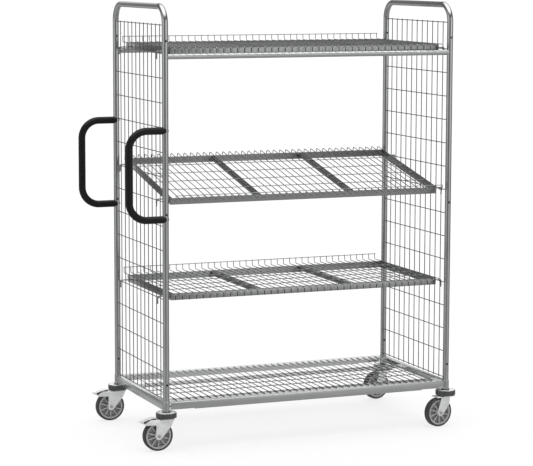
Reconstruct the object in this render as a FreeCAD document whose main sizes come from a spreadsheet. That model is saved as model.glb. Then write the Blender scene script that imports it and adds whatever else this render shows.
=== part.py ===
import FreeCAD, Part
import math
import operator
import os
import Sketcher

# Order picking trolley: a wheeled base, two tube ends with wire mesh, three shelves hung on the
# meshes, two handles and four swivel casters.
# Millimetres. +X to the right along the length, +Y to the back, +Z up.
# The origin is on the floor, in the middle of the trolley's outline.

V = FreeCAD.Vector
doc = FreeCAD.newDocument("order_picking_trolley")
sheet = doc.addObject("Spreadsheet::Sheet", "sizes")

# Driving dimensions: name and millimetres, unless the name says degrees, rows or count.
SIZES = (
    # end frames
    ("post_pitch_x", 1276),
    ("post_pitch_y", 630),
    ("post_od", 26),
    ("post_wall", 1.5),
    ("post_seat", 4),
    ("overall_height", 1820),
    ("corner_bend", 72),
    ("hole_d", 9),
    ("hole_over_rail", 73),
    ("hole_over_top_row", 50),
    # wire mesh in the ends
    ("mesh_wire", 4),
    ("mesh_pitch_y", 50),
    ("mesh_side_space", 65),
    ("mesh_pitch_z", 100),
    ("mesh_over_rail", 10),
    ("mesh_top_space", 200),
    ("mesh_end_gap", 113),
    ("mesh_under_bend", 2),
    ("mesh_overhang", 4),
    # lengthwise tubes under the top shelf
    ("top_tube_d", 22),
    ("top_tube_drop", 13),
    # handles
    ("handle_d", 30),
    ("handle_reach", 155),
    ("handle_low_z", 950),
    ("handle_high_z", 1310),
    ("handle_bend", 75),
    ("handle_screw_d", 6),
    ("handle_screw_depth", 25),
    ("handle_screw_head_d", 10),
    ("handle_screw_head_h", 2),
    # base
    ("socket_wall", 1.5),
    ("socket_height", 40),
    ("socket_screw_d", 5),
    ("socket_screw_rise", 20),
    ("socket_screw_head_d", 9),
    ("socket_screw_head_h", 3),
    ("rail_rise", 4),
    ("rail_height", 33),
    ("rail_thickness", 3),
    ("rail_face_offset", 12),
    ("rail_flange", 80),
    ("deck_bar_width", 70),
    ("deck_bar_y", 57),
    ("deck_wire", 4),
    ("deck_wire_pitch", 30),
    ("deck_wire_margin", 53),
    ("deck_wire_inset", 20),
    ("deck_long_first_y", -137),
    ("deck_long_pitch", 86),
    # shelves
    ("shelf_end_space", 35),
    ("shelf_side_space", 35),
    ("shelf_bar_height", 22),
    ("shelf_bar_flange", 25),
    ("shelf_bar_thickness", 3),
    ("shelf_drop", 5),
    ("cross_tube_width", 15),
    ("cross_tube_wall", 1.5),
    ("cross_tube_spacing", 410),
    ("shelf_wire", 3.5),
    ("shelf_wire_pitch", 30),
    ("shelf_wire_margin", 3),
    ("shelf_long_pitch", 110),
    ("shelf_long_count", 4),
    ("mat_overhang", 38),
    ("mat_bend", 8),
    ("mat_turn_end", 7),
    ("lip_height", 27.5),
    ("hook_wire", 6),
    ("hook_spacing", 480),
    ("hook_tail", 26),
    ("hook_clearance", 0.5),
    ("tilted_rear_row_count", 8),
    ("tilted_front_row_count", 7),
    ("low_shelf_row_count", 3),
    # casters
    ("wheel_d", 125),
    ("tyre_width", 32),
    ("tyre_thickness", 13),
    ("tyre_shoulder", 9),
    ("rim_width", 27),
    ("rim_ring", 5),
    ("rim_web", 6),
    ("rim_hub_d", 28),
    ("spoke_count", 10),
    ("spoke_thickness", 3.5),
    ("spoke_width", 22),
    ("caster_trail", 38),
    ("fork_gap", 40),
    ("fork_thickness", 3),
    ("fork_front", 27),
    ("fork_back", 51),
    ("fork_shoulder_drop", 14),
    ("fork_end_d", 28),
    ("wheel_clearance", 3),
    ("crown_thickness", 4),
    ("axle_d", 8),
    ("axle_head_d", 13),
    ("axle_head_h", 5),
    ("king_pin_d", 12),
    ("king_pin_head_d", 18),
    ("king_pin_head_h", 4.5),
    ("stem_plug", 31),
    ("race_d", 52),
    ("race_space", 8),
    ("bumper_d", 86),
    ("bumper_rim_h", 17),
    ("bumper_round", 7),
    ("bumper_hub_d", 36),
    ("bumper_hub_h", 3),
    ("right_swivel_degrees", 8),
    # brakes on the left casters
    ("cheek_reach", 98),
    ("cheek_drop", 16),
    ("cheek_end_h", 7),
    ("pedal_pivot_x", 66),
    ("pedal_pivot_rise", 1),
    ("pedal_pin_d", 6),
    ("pedal_boss_d", 12),
    ("pedal_width", 34),
    ("pedal_reach", 117),
    ("pedal_tip_drop", 16),
    ("pedal_thickness", 9),
    # clearances
    ("fit", 0.05),
    ("running_gap", 0.3),
)

for number, (alias, value) in enumerate(SIZES, start=1):
    sheet.set("A%d" % number, alias)
    sheet.set("B%d" % number, str(value))
    sheet.setAlias("B%d" % number, alias)
doc.recompute()


class Size:
    """A number worked out from sheet cells, with the formula that keeps a bound property up to date."""

    def __init__(self, value, formula):
        self.value = float(value)
        self.formula = formula

    def __float__(self):
        return self.value

    def __neg__(self):
        return Size(-self.value, "-(%s)" % self.formula)

    def __add__(self, other):
        return joined(self, "+", other)

    def __radd__(self, other):
        return joined(other, "+", self)

    def __sub__(self, other):
        return joined(self, "-", other)

    def __rsub__(self, other):
        return joined(other, "-", self)

    def __mul__(self, other):
        return joined(self, "*", other)

    def __rmul__(self, other):
        return joined(other, "*", self)

    def __truediv__(self, other):
        return joined(self, "/", other)


ARITHMETIC = {"+": operator.add, "-": operator.sub, "*": operator.mul, "/": operator.truediv}


def as_size(number):
    return number if isinstance(number, Size) else Size(number, repr(float(number)))


def joined(left, sign, right):
    left, right = as_size(left), as_size(right)
    value = ARITHMETIC[sign](left.value, right.value)
    return Size(value, "(%s %s %s)" % (left.formula, sign, right.formula))


class Sheet:
    """Reads a cell of the sheet by its alias."""

    def __getattr__(self, alias):
        return Size(sheet.get(alias), "sizes." + alias)


size = Sheet()
nodes = []
ZERO = as_size(0)
AXES = {"X": V(1, 0, 0), "Y": V(0, 1, 0), "Z": V(0, 0, 1)}
BIG = 4 * size.overall_height


def bind(piece, prop, length):
    piece.setExpression(prop, as_size(length).formula)


def node(piece, label):
    """Names a finished sub-part, which is then written to a file of that name."""
    piece.Label = label
    nodes.append(piece)
    return piece


def place(piece, corner):
    for axis, distance in zip("xyz", corner):
        bind(piece, "Placement.Base." + axis, distance)


def box(name, low, high):
    """A block between two corners."""
    block = doc.addObject("Part::Box", name)
    for prop, start, end in zip(("Length", "Width", "Height"), low, high):
        bind(block, prop, end - start)
    place(block, low)
    return block


def rod(name, diameter, start, length, axis="Z"):
    """A round bar that starts at a point and runs along an axis."""
    bar = doc.addObject("Part::Cylinder", name)
    bind(bar, "Radius", diameter / 2)
    bind(bar, "Height", length)
    bar.Placement = FreeCAD.Placement(V(), FreeCAD.Rotation(V(0, 0, 1), AXES[axis]))
    place(bar, start)
    return bar


def fuse(name, pieces):
    whole = doc.addObject("Part::MultiFuse", name)
    whole.Shapes = pieces
    return whole


def group(name, pieces):
    """Separate solids that share one sub-part."""
    gathered = doc.addObject("Part::Compound", name)
    gathered.Links = pieces
    return gathered


def cut(name, base, tools):
    rest = doc.addObject("Part::Cut", name)
    rest.Base = base
    rest.Tool = tools[0] if len(tools) == 1 else group(name + "_tools", tools)
    return rest


def feature(name, shape):
    piece = doc.addObject("Part::Feature", name)
    piece.Shape = shape
    return piece


def point(x, y, z):
    return V(float(x), float(y), float(z))


def bent_bar(points, bend, diameter):
    """A round bar along straight runs that are joined by tangent arcs of one centreline radius."""
    corners = [point(*place_) for place_ in points]
    radius = float(bend)
    edges = []
    start = corners[0]
    for before, corner, after in zip(corners, corners[1:], corners[2:]):
        inward = (corner - before).normalize()
        outward = (after - corner).normalize()
        half_turn = inward.getAngle(outward) / 2
        setback = radius * math.tan(half_turn)
        first = corner - inward * setback
        last = corner + outward * setback
        to_centre = (outward - inward).normalize()
        middle = corner + to_centre * (radius / math.cos(half_turn) - radius)
        edges.append(Part.LineSegment(start, first).toShape())
        edges.append(Part.Arc(first, middle, last).toShape())
        start = last
    edges.append(Part.LineSegment(start, corners[-1]).toShape())
    path = Part.Wire(edges)
    section = Part.Wire(Part.makeCircle(float(diameter) / 2, corners[0], corners[1] - corners[0]))
    return path.makePipeShell([section], True, False)


def straight_bar(start, end, diameter):
    run = point(*end) - point(*start)
    return Part.makeCylinder(float(diameter) / 2, run.Length, point(*start), run)


def sketch_on(body, plane):
    sketch = body.newObject("Sketcher::SketchObject", body.Name + "_sketch")
    support = [item for item in body.Origin.OriginFeatures if item.Role == plane][0]
    sketch.AttachmentSupport = [(support, "")]
    sketch.MapMode = "FlatFace"
    return sketch


def hold_point(sketch, curve, end, x, y):
    """Fixes a sketch point by its distances from the sketch's origin."""
    for kind, axis, distance in (("DistanceX", -2, as_size(x)), ("DistanceY", -1, as_size(y))):
        if abs(distance.value) < 1e-9:
            sketch.addConstraint(Sketcher.Constraint("PointOnObject", curve, end, axis))
            continue
        held = sketch.addConstraint(Sketcher.Constraint(kind, -1, 1, curve, end, distance.value))
        sketch.setExpression("Constraints[%d]" % held, distance.formula)


def outline(body, plane, points):
    """A closed outline of straight lines through the given points."""
    sketch = sketch_on(body, plane)
    corners = [V(float(x), float(y), 0) for x, y in points]
    count = len(corners)
    for i in range(count):
        sketch.addGeometry(Part.LineSegment(corners[i], corners[(i + 1) % count]), False)
    for i in range(count):
        sketch.addConstraint(Sketcher.Constraint("Coincident", i, 2, (i + 1) % count, 1))
    for i, (x, y) in enumerate(points):
        hold_point(sketch, i, 1, x, y)
    return sketch


def circle(body, plane, x, y, diameter):
    sketch = sketch_on(body, plane)
    radius = diameter / 2
    centre = V(float(x), float(y), 0)
    sketch.addGeometry(Part.Circle(centre, V(0, 0, 1), float(radius)), False)
    hold_point(sketch, 0, 3, x, y)
    held = sketch.addConstraint(Sketcher.Constraint("Radius", 0, float(radius)))
    sketch.setExpression("Constraints[%d]" % held, radius.formula)
    return sketch


def both_sides(body, kind, sketch, width):
    """A pad or pocket of a given width, half on each side of its sketch."""
    step = body.newObject("PartDesign::" + kind, body.Name + "_" + kind.lower())
    step.Profile = sketch
    step.SideType = "Symmetric"
    bind(step, "Length", width)
    return step


def turned(body, points, axis):
    """A solid of revolution about a sketch axis."""
    sketch = outline(body, "YZ_Plane", points)
    step = body.newObject("PartDesign::Revolution", body.Name + "_turned")
    step.Profile = sketch
    step.ReferenceAxis = (sketch, [axis])
    step.Angle = 360
    return step


def round_rims(body, step, rim_d, radius):
    """Rounds the circular edges of a given diameter."""
    doc.recompute()
    chosen = []
    for i, edge in enumerate(step.Shape.Edges, start=1):
        curve = edge.Curve
        if isinstance(curve, Part.Circle) and abs(2 * curve.Radius - float(rim_d)) < 1e-6:
            chosen.append("Edge%d" % i)
    rounding = body.newObject("PartDesign::Fillet", body.Name + "_rounding")
    rounding.Base = (step, chosen)
    bind(rounding, "Radius", radius)
    return rounding


# The four posts: the handles stand out to the left and the bumpers to the right, so the posts are
# moved by half the difference to keep the origin in the middle of the outline.
centre_shift = (size.handle_reach + size.handle_d / 2 - size.bumper_d / 2) / 2
post_x = {"left": centre_shift - size.post_pitch_x / 2, "right": centre_shift + size.post_pitch_x / 2}
post_y = {"front": -(size.post_pitch_y / 2), "rear": size.post_pitch_y / 2}
outward = {"left": -1, "right": 1}
post_r = size.post_od / 2
post_bore_d = size.post_od - 2 * size.post_wall
socket_bore_d = size.post_od + 2 * size.fit
socket_od = socket_bore_d + 2 * size.socket_wall
rail_end = socket_od / 2 + size.fit
mesh_offset = size.mesh_wire + size.fit
CORNERS = [(side, end) for side in ("left", "right") for end in ("front", "rear")]

# Heights from the floor up: each wheel carries a crown, a race, a bumper and a socket, and the
# sockets carry the posts and the base.
crown_low = size.wheel_d + size.wheel_clearance
crown_high = crown_low + size.crown_thickness
bumper_low = crown_high + size.race_space
socket_low = bumper_low + size.bumper_rim_h + size.bumper_hub_h
socket_high = socket_low + size.socket_height
socket_screw_z = socket_low + size.socket_screw_rise
post_low = socket_low + size.post_seat
rail_low = socket_low + size.rail_rise
rail_high = rail_low + size.rail_height
mesh_low = rail_high + size.mesh_over_rail
mesh_high = size.overall_height - post_r - size.corner_bend - size.mesh_under_bend
first_row = mesh_low + size.mesh_end_gap
hole_low = rail_high + size.hole_over_rail


def row_height(row):
    """Height of a horizontal mesh wire, counted from the lowest one of the even pitch."""
    return first_row + row * size.mesh_pitch_z


def rounded(length):
    """A length or a count of pitches as a whole number."""
    return round(float(length))


top_row = rounded((size.overall_height - size.mesh_top_space - first_row) / size.mesh_pitch_z)
column_count = rounded((size.post_pitch_y - 2 * size.mesh_side_space) / size.mesh_pitch_y) + 1
hole_pitch_z = (row_height(top_row) + size.hole_over_top_row - hole_low) / 2


def end_tube(side):
    """Inverted-U tube with punched holes and screw holes."""
    x = post_x[side]
    top_z = size.overall_height - post_r
    feet = [(x, post_y["front"], post_low), (x, post_y["front"], top_z),
            (x, post_y["rear"], top_z), (x, post_y["rear"], post_low)]
    tube = bent_bar(feet, size.corner_bend, size.post_od)
    tube = tube.cut(bent_bar(feet, size.corner_bend, post_bore_d))
    drills = []
    for y in post_y.values():
        for level in range(3):
            z = hole_low + level * hole_pitch_z
            drills.append(straight_bar((x, y - size.post_od, z), (x, y + size.post_od, z), size.hole_d))
        inward_end = x - outward[side] * size.post_od
        bore = size.socket_screw_d + 2 * size.fit
        z = socket_screw_z
        drills.append(straight_bar((x, y, z), (inward_end, y, z), bore))
        bore = size.handle_screw_d + 2 * size.fit
        for z in (size.handle_low_z, size.handle_high_z):
            drills.append(straight_bar((x - size.post_od, y, z), (x + size.post_od, y, z), bore))
    tube = tube.cut(Part.makeCompound(drills))
    node(feature(side + "_tube", tube), side + "_end_tube")


def end_mesh(side):
    """Upright wires in the plane of the posts, with level wires welded across them outside."""
    x_upright = post_x[side]
    x_level = x_upright + outward[side] * mesh_offset
    heights = [row_height(row) for row in range(top_row + 1)]
    heights = [mesh_low] + heights + [mesh_high]
    chord = math.sqrt(float(post_r) ** 2 - (float(mesh_offset) - float(size.mesh_wire) / 2) ** 2)
    half_width = size.post_pitch_y / 2 - chord - size.fit
    wires = []
    for z in heights:
        wires.append(straight_bar((x_level, -half_width, z), (x_level, half_width, z), size.mesh_wire))
    low, high = heights[0] - size.mesh_overhang, heights[-1] + size.mesh_overhang
    for column in range(column_count):
        y = (column - (column_count - 1) / 2) * size.mesh_pitch_y
        wires.append(straight_bar((x_upright, y, low), (x_upright, y, high), size.mesh_wire))
    node(feature(side + "_wires", Part.makeCompound(wires)), side + "_end_mesh")


def top_tube(end):
    """Lengthwise tube between the posts, its ends coped to them."""
    y, z = post_y[end], row_height(top_row) - size.top_tube_drop
    tube = rod(end + "_tube_bar", size.top_tube_d, (post_x["left"], y, z), size.post_pitch_x, "X")
    bore = rod(end + "_tube_bore", size.top_tube_d - 2 * size.post_wall, (post_x["left"], y, z),
               size.post_pitch_x, "X")
    copes = []
    for side in post_x:
        start = (post_x[side], y, z - size.top_tube_d)
        copes.append(rod(end + side + "_cope", socket_bore_d, start, 2 * size.top_tube_d))
    hollow = cut(end + "_tube_hollow", tube, [bore])
    node(cut(end + "_tube_coped", hollow, copes), end + "_top_tube")


def handle(end):
    """D-shaped grip bar, its two ends coped to the post and drilled for the screws."""
    x, y = post_x["left"], post_y[end]
    reach = x - size.handle_reach
    low, high = size.handle_low_z, size.handle_high_z
    route = [(x, y, high), (reach, y, high), (reach, y, low), (x, y, low)]
    bar = bent_bar(route, size.handle_bend, size.handle_d)
    cope_low, cope_high = low - size.handle_d, high + size.handle_d
    bar = bar.cut(straight_bar((x, y, cope_low), (x, y, cope_high), socket_bore_d))
    for z in (low, high):
        bottom = x - post_r - size.handle_screw_depth - size.running_gap
        bar = bar.cut(straight_bar((x, y, z), (bottom, y, z), size.handle_screw_d + 2 * size.fit))
    node(feature(end + "_grip", bar), end + "_handle")


def handle_screws():
    screws = []
    for end, y in post_y.items():
        for z in (size.handle_low_z, size.handle_high_z):
            seat = post_x["left"] + post_r + size.fit
            tip = post_x["left"] - post_r - size.handle_screw_depth
            name = "%s_%d_handle_screw" % (end, z.value)
            shank = rod(name + "_shank", size.handle_screw_d, (tip, y, z), seat - tip, "X")
            head = rod(name + "_head", size.handle_screw_head_d, (seat, y, z), size.handle_screw_head_h, "X")
            screws.append(fuse(name, [shank, head]))
    node(group("handle_screw_set", screws), "handle_screws")


def corner_sockets():
    """Short tubes at the corners of the base that take the feet of the posts, and their screws."""
    sockets = []
    screws = []
    for side, end in CORNERS:
        name = side + "_" + end
        x, y = post_x[side], post_y[end]
        tall = socket_high - socket_low
        shell = rod(name + "_socket_shell", socket_od, (x, y, socket_low), tall)
        bore = rod(name + "_socket_bore", socket_bore_d, (x, y, socket_low), tall)
        inward = -outward[side]
        seat = x + inward * (socket_od / 2 + size.fit)
        tip = x + inward * (post_bore_d / 2 - size.socket_screw_head_h)
        low, high = (tip, seat) if inward > 0 else (seat, tip)
        z = socket_screw_z
        drill = rod(name + "_socket_drill", size.socket_screw_d + 2 * size.fit, (low, y, z), high - low, "X")
        sockets.append(cut(name + "_socket", shell, [fuse(name + "_socket_hollow", [bore, drill])]))
        shank = rod(name + "_screw_shank", size.socket_screw_d, (low, y, z), high - low, "X")
        head_h = size.socket_screw_head_h
        head_low = seat if inward > 0 else seat - head_h
        head = rod(name + "_screw_head", size.socket_screw_head_d, (head_low, y, z), head_h, "X")
        screws.append(fuse(name + "_socket_screw", [shank, head]))
    node(group("socket_set", sockets), "corner_sockets")
    node(group("socket_screw_set", screws), "socket_screws")


def base_rails():
    """Angle bars between the sockets: an upright outer leg and a level flange that carries the deck."""
    left, right = post_x["left"] + rail_end, post_x["right"] - rail_end
    low, high, thick = rail_low, rail_high, size.rail_thickness
    for end, inward in (("front", 1), ("rear", -1)):
        face = post_y[end] - inward * size.rail_face_offset
        legs = sorted((face, face + inward * thick), key=float)
        flange = sorted((face, face + inward * size.rail_flange), key=float)
        leg = box(end + "_rail_leg", (left, legs[0], low), (right, legs[1], high))
        shelf = box(end + "_rail_flange", (left, flange[0], high - thick), (right, flange[1], high))
        node(fuse(end + "_rail_angle", [leg, shelf]), end + "_rail")
    front, rear = post_y["front"] + rail_end, post_y["rear"] - rail_end
    for side, inward in (("left", 1), ("right", -1)):
        face = post_x[side] - inward * size.rail_face_offset
        legs = sorted((face, face + inward * thick), key=float)
        flange = sorted((face, post_x[side] + inward * (rail_end - size.fit)), key=float)
        leg = box(side + "_rail_leg", (legs[0], front, low), (legs[1], rear, high))
        shelf = box(side + "_rail_flange", (flange[0], front, high - thick), (flange[1], rear, high))
        node(fuse(side + "_rail_angle", [leg, shelf]), side + "_end_rail")


def deck():
    """A lengthwise bar and welded wires that lie on the flanges of the base rails."""
    left, right = post_x["left"] + rail_end, post_x["right"] - rail_end
    high, low = rail_high, rail_high - size.rail_thickness
    bar_front = size.deck_bar_y - size.deck_bar_width / 2
    bar = box("deck_flat", (left, bar_front, low), (right, bar_front + size.deck_bar_width, high))
    node(bar, "deck_bar")
    cross_z = high + size.fit + size.deck_wire / 2
    long_z = cross_z - size.deck_wire - size.fit
    reach = size.post_pitch_y / 2 - size.deck_wire_inset
    count = rounded((size.post_pitch_x - 2 * size.deck_wire_margin) / size.deck_wire_pitch) + 1
    wires = []
    for i in range(count):
        x = centre_shift + (i - (count - 1) / 2) * size.deck_wire_pitch
        wires.append(straight_bar((x, -reach, cross_z), (x, reach, cross_z), size.deck_wire))
    for i in range(2):
        y = size.deck_long_first_y + i * size.deck_long_pitch
        wires.append(straight_bar((left, y, long_z), (right, y, long_z), size.deck_wire))
    node(feature("deck_grid", Part.makeCompound(wires)), "deck_wires")


# Shelf sizes in the shelf's own frame: its origin is midway between the two end meshes, at the
# height of the wire that the hooks hang on. The lip is on the +Y side.
half_length = size.post_pitch_x / 2 - size.shelf_end_space
half_depth = size.post_pitch_y / 2 - size.shelf_side_space
bar_low = -size.shelf_drop
bar_high = bar_low + size.shelf_bar_height
long_wire_z = bar_high + size.fit + size.shelf_wire / 2
mat_wire_z = long_wire_z + size.shelf_wire + size.fit
mat_edge_y = half_depth + size.mat_overhang
hook_r = size.mesh_wire / 2 + size.hook_clearance + size.hook_wire / 2
hook_wire_x = size.post_pitch_x / 2 + mesh_offset


def mat_positions():
    count = rounded(2 * (half_length - size.shelf_wire_margin) / size.shelf_wire_pitch) + 1
    return [(i - (count - 1) / 2) * size.shelf_wire_pitch for i in range(count)]


def shelf_frame(name):
    """Four angle bars with their flange at the bottom, and two cross tubes that stand on the flanges."""
    thick = size.shelf_bar_thickness
    flange_high = bar_low + thick
    inner_x, inner_y = half_length - thick, half_depth - thick
    flange_x, flange_y = half_length - size.shelf_bar_flange, half_depth - size.shelf_bar_flange
    bars = []
    for end, sign in (("front", -1), ("rear", 1)):
        legs = sorted((sign * half_depth, sign * inner_y), key=float)
        flange = sorted((sign * half_depth, sign * flange_y), key=float)
        leg = box(name + end + "_leg", (-half_length, legs[0], bar_low), (half_length, legs[1], bar_high))
        foot = box(name + end + "_foot", (-half_length, flange[0], bar_low),
                   (half_length, flange[1], flange_high))
        bars.append(fuse(name + end + "_bar", [leg, foot]))
    for side, sign in (("left", -1), ("right", 1)):
        legs = sorted((sign * half_length, sign * inner_x), key=float)
        flange = sorted((sign * inner_x, sign * flange_x), key=float)
        leg = box(name + side + "_leg", (legs[0], -inner_y, flange_high), (legs[1], inner_y, bar_high))
        foot = box(name + side + "_foot", (flange[0], -flange_y, bar_low), (flange[1], flange_y, flange_high))
        strip = box(name + side + "_strip", (legs[0], -flange_y, bar_low), (legs[1], flange_y, flange_high))
        bars.append(fuse(name + side + "_bar", [leg, foot, strip]))
    wall = size.cross_tube_wall
    for sign in (-1, 1):
        middle = sign * size.cross_tube_spacing / 2
        low_x, high_x = middle - size.cross_tube_width / 2, middle + size.cross_tube_width / 2
        tag = name + ("_left" if sign < 0 else "_right")
        outer = box(tag + "_cross", (low_x, -inner_y, flange_high), (high_x, inner_y, bar_high))
        bore = box(tag + "_cross_bore", (low_x + wall, -inner_y, flange_high + wall),
                   (high_x - wall, inner_y, bar_high - wall))
        bars.append(cut(tag + "_cross_tube", outer, [bore]))
    return group(name + "_bars", bars)


def shelf_wires(name):
    """Lengthwise wires on the frame, and front-to-back wires across them that overhang and turn down."""
    wires = []
    turn_end = bar_low + size.mat_turn_end
    for x in mat_positions():
        route = [(x, half_depth, mat_wire_z), (x, -mat_edge_y, mat_wire_z), (x, -mat_edge_y, turn_end)]
        wires.append(bent_bar(route, size.mat_bend, size.shelf_wire))
    count = int(size.shelf_long_count.value)
    for i in range(count):
        y = (i - (count - 1) / 2) * size.shelf_long_pitch
        left, right = (-half_length, y, long_wire_z), (half_length, y, long_wire_z)
        wires.append(straight_bar(left, right, size.shelf_wire))
    return feature(name + "_mat", Part.makeCompound(wires))


def shelf_lip(name):
    """The front-to-back wires turned up along the lip edge, and the rail wire along their tops."""
    rail_z = mat_wire_z + size.lip_height
    rail_y = mat_edge_y - size.shelf_wire - size.fit
    top_z = rail_z + size.shelf_wire / 2
    wires = []
    for x in mat_positions():
        route = [(x, half_depth, mat_wire_z), (x, mat_edge_y, mat_wire_z), (x, mat_edge_y, top_z)]
        wires.append(bent_bar(route, size.mat_bend, size.shelf_wire))
    rail_end_x = mat_positions()[-1] + size.shelf_wire / 2
    wires.append(straight_bar((-rail_end_x, rail_y, rail_z), (rail_end_x, rail_y, rail_z), size.shelf_wire))
    return feature(name + "_lip_wires", Part.makeCompound(wires))


def shelf_hooks(name):
    """Bent wire hooks from the end bars over a level wire of the mesh, with a tail outside it."""
    hooks = []
    for sign in (-1, 1):
        tip_x = sign * (hook_wire_x + hook_r)
        for y in (-(size.hook_spacing / 2), size.hook_spacing / 2):
            route = [(sign * half_length, y, hook_r), (tip_x, y, hook_r), (tip_x, y, -size.hook_tail)]
            hooks.append(bent_bar(route, hook_r, size.hook_wire))
    return feature(name + "_hook_wires", Part.makeCompound(hooks))


def shelf(name, front_row, rear_row, turned_round):
    """A shelf hung on two mesh rows; a lower front row tilts it."""
    rise = float(row_height(rear_row) - row_height(front_row))
    tilt = math.degrees(math.asin(rise / float(size.hook_spacing)))
    middle_z = (row_height(front_row) + row_height(rear_row)) / 2
    turn = FreeCAD.Rotation(V(1, 0, 0), tilt)
    if turned_round:
        turn = turn.multiply(FreeCAD.Rotation(V(0, 0, 1), 180))
    where = FreeCAD.Placement(point(centre_shift, 0, middle_z), turn)
    pieces = {"frame": shelf_frame(name), "wires": shelf_wires(name),
              "lip": shelf_lip(name), "hooks": shelf_hooks(name)}
    for kind, piece in pieces.items():
        piece.Placement = where
        node(piece, name + "_" + kind)


# Caster sizes in the caster's own frame: the swivel axis is Z, the floor is at z = 0, and the wheel
# trails towards -X.
wheel_r = size.wheel_d / 2
rim_d = size.wheel_d - 2 * size.tyre_thickness
fork_width = size.fork_gap + 2 * size.fork_thickness
fork_shoulder = crown_low - size.fork_shoulder_drop
cheek_low = crown_low - size.cheek_drop
pedal_pivot_z = crown_low + size.pedal_pivot_rise
pedal_tip_z = crown_low - size.pedal_tip_drop
king_pin_bore_d = size.king_pin_d + 2 * size.fit
axle_bore_d = size.axle_d + 2 * size.fit


def stem(name):
    """King pin with a head under the crown and a plug in the foot of the post."""
    head_high = crown_low - size.running_gap
    head_low = head_high - size.king_pin_head_h
    plug_d = post_bore_d - 2 * size.fit
    head = rod(name + "_head", size.king_pin_head_d, (ZERO, ZERO, head_low), size.king_pin_head_h)
    pin = rod(name + "_pin", size.king_pin_d, (ZERO, ZERO, head_low), post_low - head_low)
    plug = rod(name + "_plug", plug_d, (ZERO, ZERO, post_low), size.stem_plug)
    screw_room = size.socket_screw_head_h + size.running_gap
    slots = []
    for sign in (-1, 1):
        edges = sorted((sign * plug_d / 2, sign * (plug_d / 2 - screw_room)), key=float)
        half = size.socket_screw_d / 2 + size.running_gap
        z = socket_screw_z
        tag = "%s_slot_%d" % (name, sign + 1)
        slots.append(box(tag, (edges[0], -half, z - half), (edges[1], half, z + half)))
    return cut(name + "_whole", fuse(name + "_solid", [head, pin, plug]), slots)


def race(name):
    """Swivel bearing ring between the crown and the bumper."""
    low = crown_high + size.running_gap
    tall = bumper_low - low
    ring = rod(name + "_ring", size.race_d, (ZERO, ZERO, low), tall)
    bore = rod(name + "_bore", king_pin_bore_d, (ZERO, ZERO, low), tall)
    return cut(name + "_whole", ring, [bore])


def bumper(name):
    """Round plastic buffer disc with a raised hub that seats under the socket."""
    body = doc.addObject("PartDesign::Body", name + "_body")
    bore, hub, rim = king_pin_bore_d / 2, size.bumper_hub_d / 2, size.bumper_d / 2
    low = bumper_low
    step = low + size.bumper_rim_h
    high = socket_low
    profile = [(bore, low), (rim, low), (rim, step), (hub, step), (hub, high), (bore, high)]
    disc = turned(body, profile, "V_Axis")
    round_rims(body, disc, size.bumper_d, size.bumper_round)
    return body


def fork(name, braked):
    """Two side plates and a crown, folded from one sheet; braked casters have longer cheeks."""
    body = doc.addObject("PartDesign::Body", name + "_body")
    end_r = size.fork_end_d / 2
    trail = size.caster_trail
    profile = [(size.fork_front, crown_high), (size.fork_front, fork_shoulder),
               (end_r - trail, wheel_r),
               (-(trail + end_r), wheel_r), (-size.fork_back, cheek_low)]
    if braked:
        reach, pivot_x = size.cheek_reach, size.pedal_pivot_x
        over_pivot = pedal_pivot_z + size.pedal_boss_d / 2
        profile += [(-reach, cheek_low), (-reach, cheek_low + size.cheek_end_h),
                    (-(pivot_x + end_r / 2), over_pivot), (-pivot_x + end_r / 2, over_pivot)]
    profile += [(-size.fork_back, crown_high)]
    both_sides(body, "Pad", outline(body, "XZ_Plane", profile), fork_width)
    both_sides(body, "Pad", circle(body, "XZ_Plane", -trail, wheel_r, size.fork_end_d), fork_width)
    crown_back = size.fork_back - size.fork_thickness
    inside = [(-BIG, -BIG), (BIG, -BIG), (BIG, crown_low), (-crown_back, crown_low),
              (-crown_back, BIG), (-BIG, BIG)]
    both_sides(body, "Pocket", outline(body, "XZ_Plane", inside), size.fork_gap)
    both_sides(body, "Pocket", circle(body, "XZ_Plane", -trail, wheel_r, axle_bore_d), 2 * fork_width)
    if braked:
        pin_bore = size.pedal_pin_d + 2 * size.fit
        pivot = circle(body, "XZ_Plane", -size.pedal_pivot_x, pedal_pivot_z, pin_bore)
        both_sides(body, "Pocket", pivot, 2 * fork_width)
    both_sides(body, "Pocket", circle(body, "XY_Plane", ZERO, ZERO, king_pin_bore_d), BIG)
    return body


def axle(name):
    """Axle bolt through the fork and the wheel, with a head and a nut outside the fork."""
    reach = fork_width / 2 + size.fit
    x, z = -size.caster_trail, wheel_r
    start = (x, -(reach + size.axle_head_h), z)
    pin = rod(name + "_pin", size.axle_d, start, 2 * (reach + size.axle_head_h), "Y")
    head = rod(name + "_head", size.axle_head_d, start, size.axle_head_h, "Y")
    nut = rod(name + "_nut", size.axle_head_d, (x, reach, z), size.axle_head_h, "Y")
    return fuse(name + "_whole", [pin, head, nut])


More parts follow.
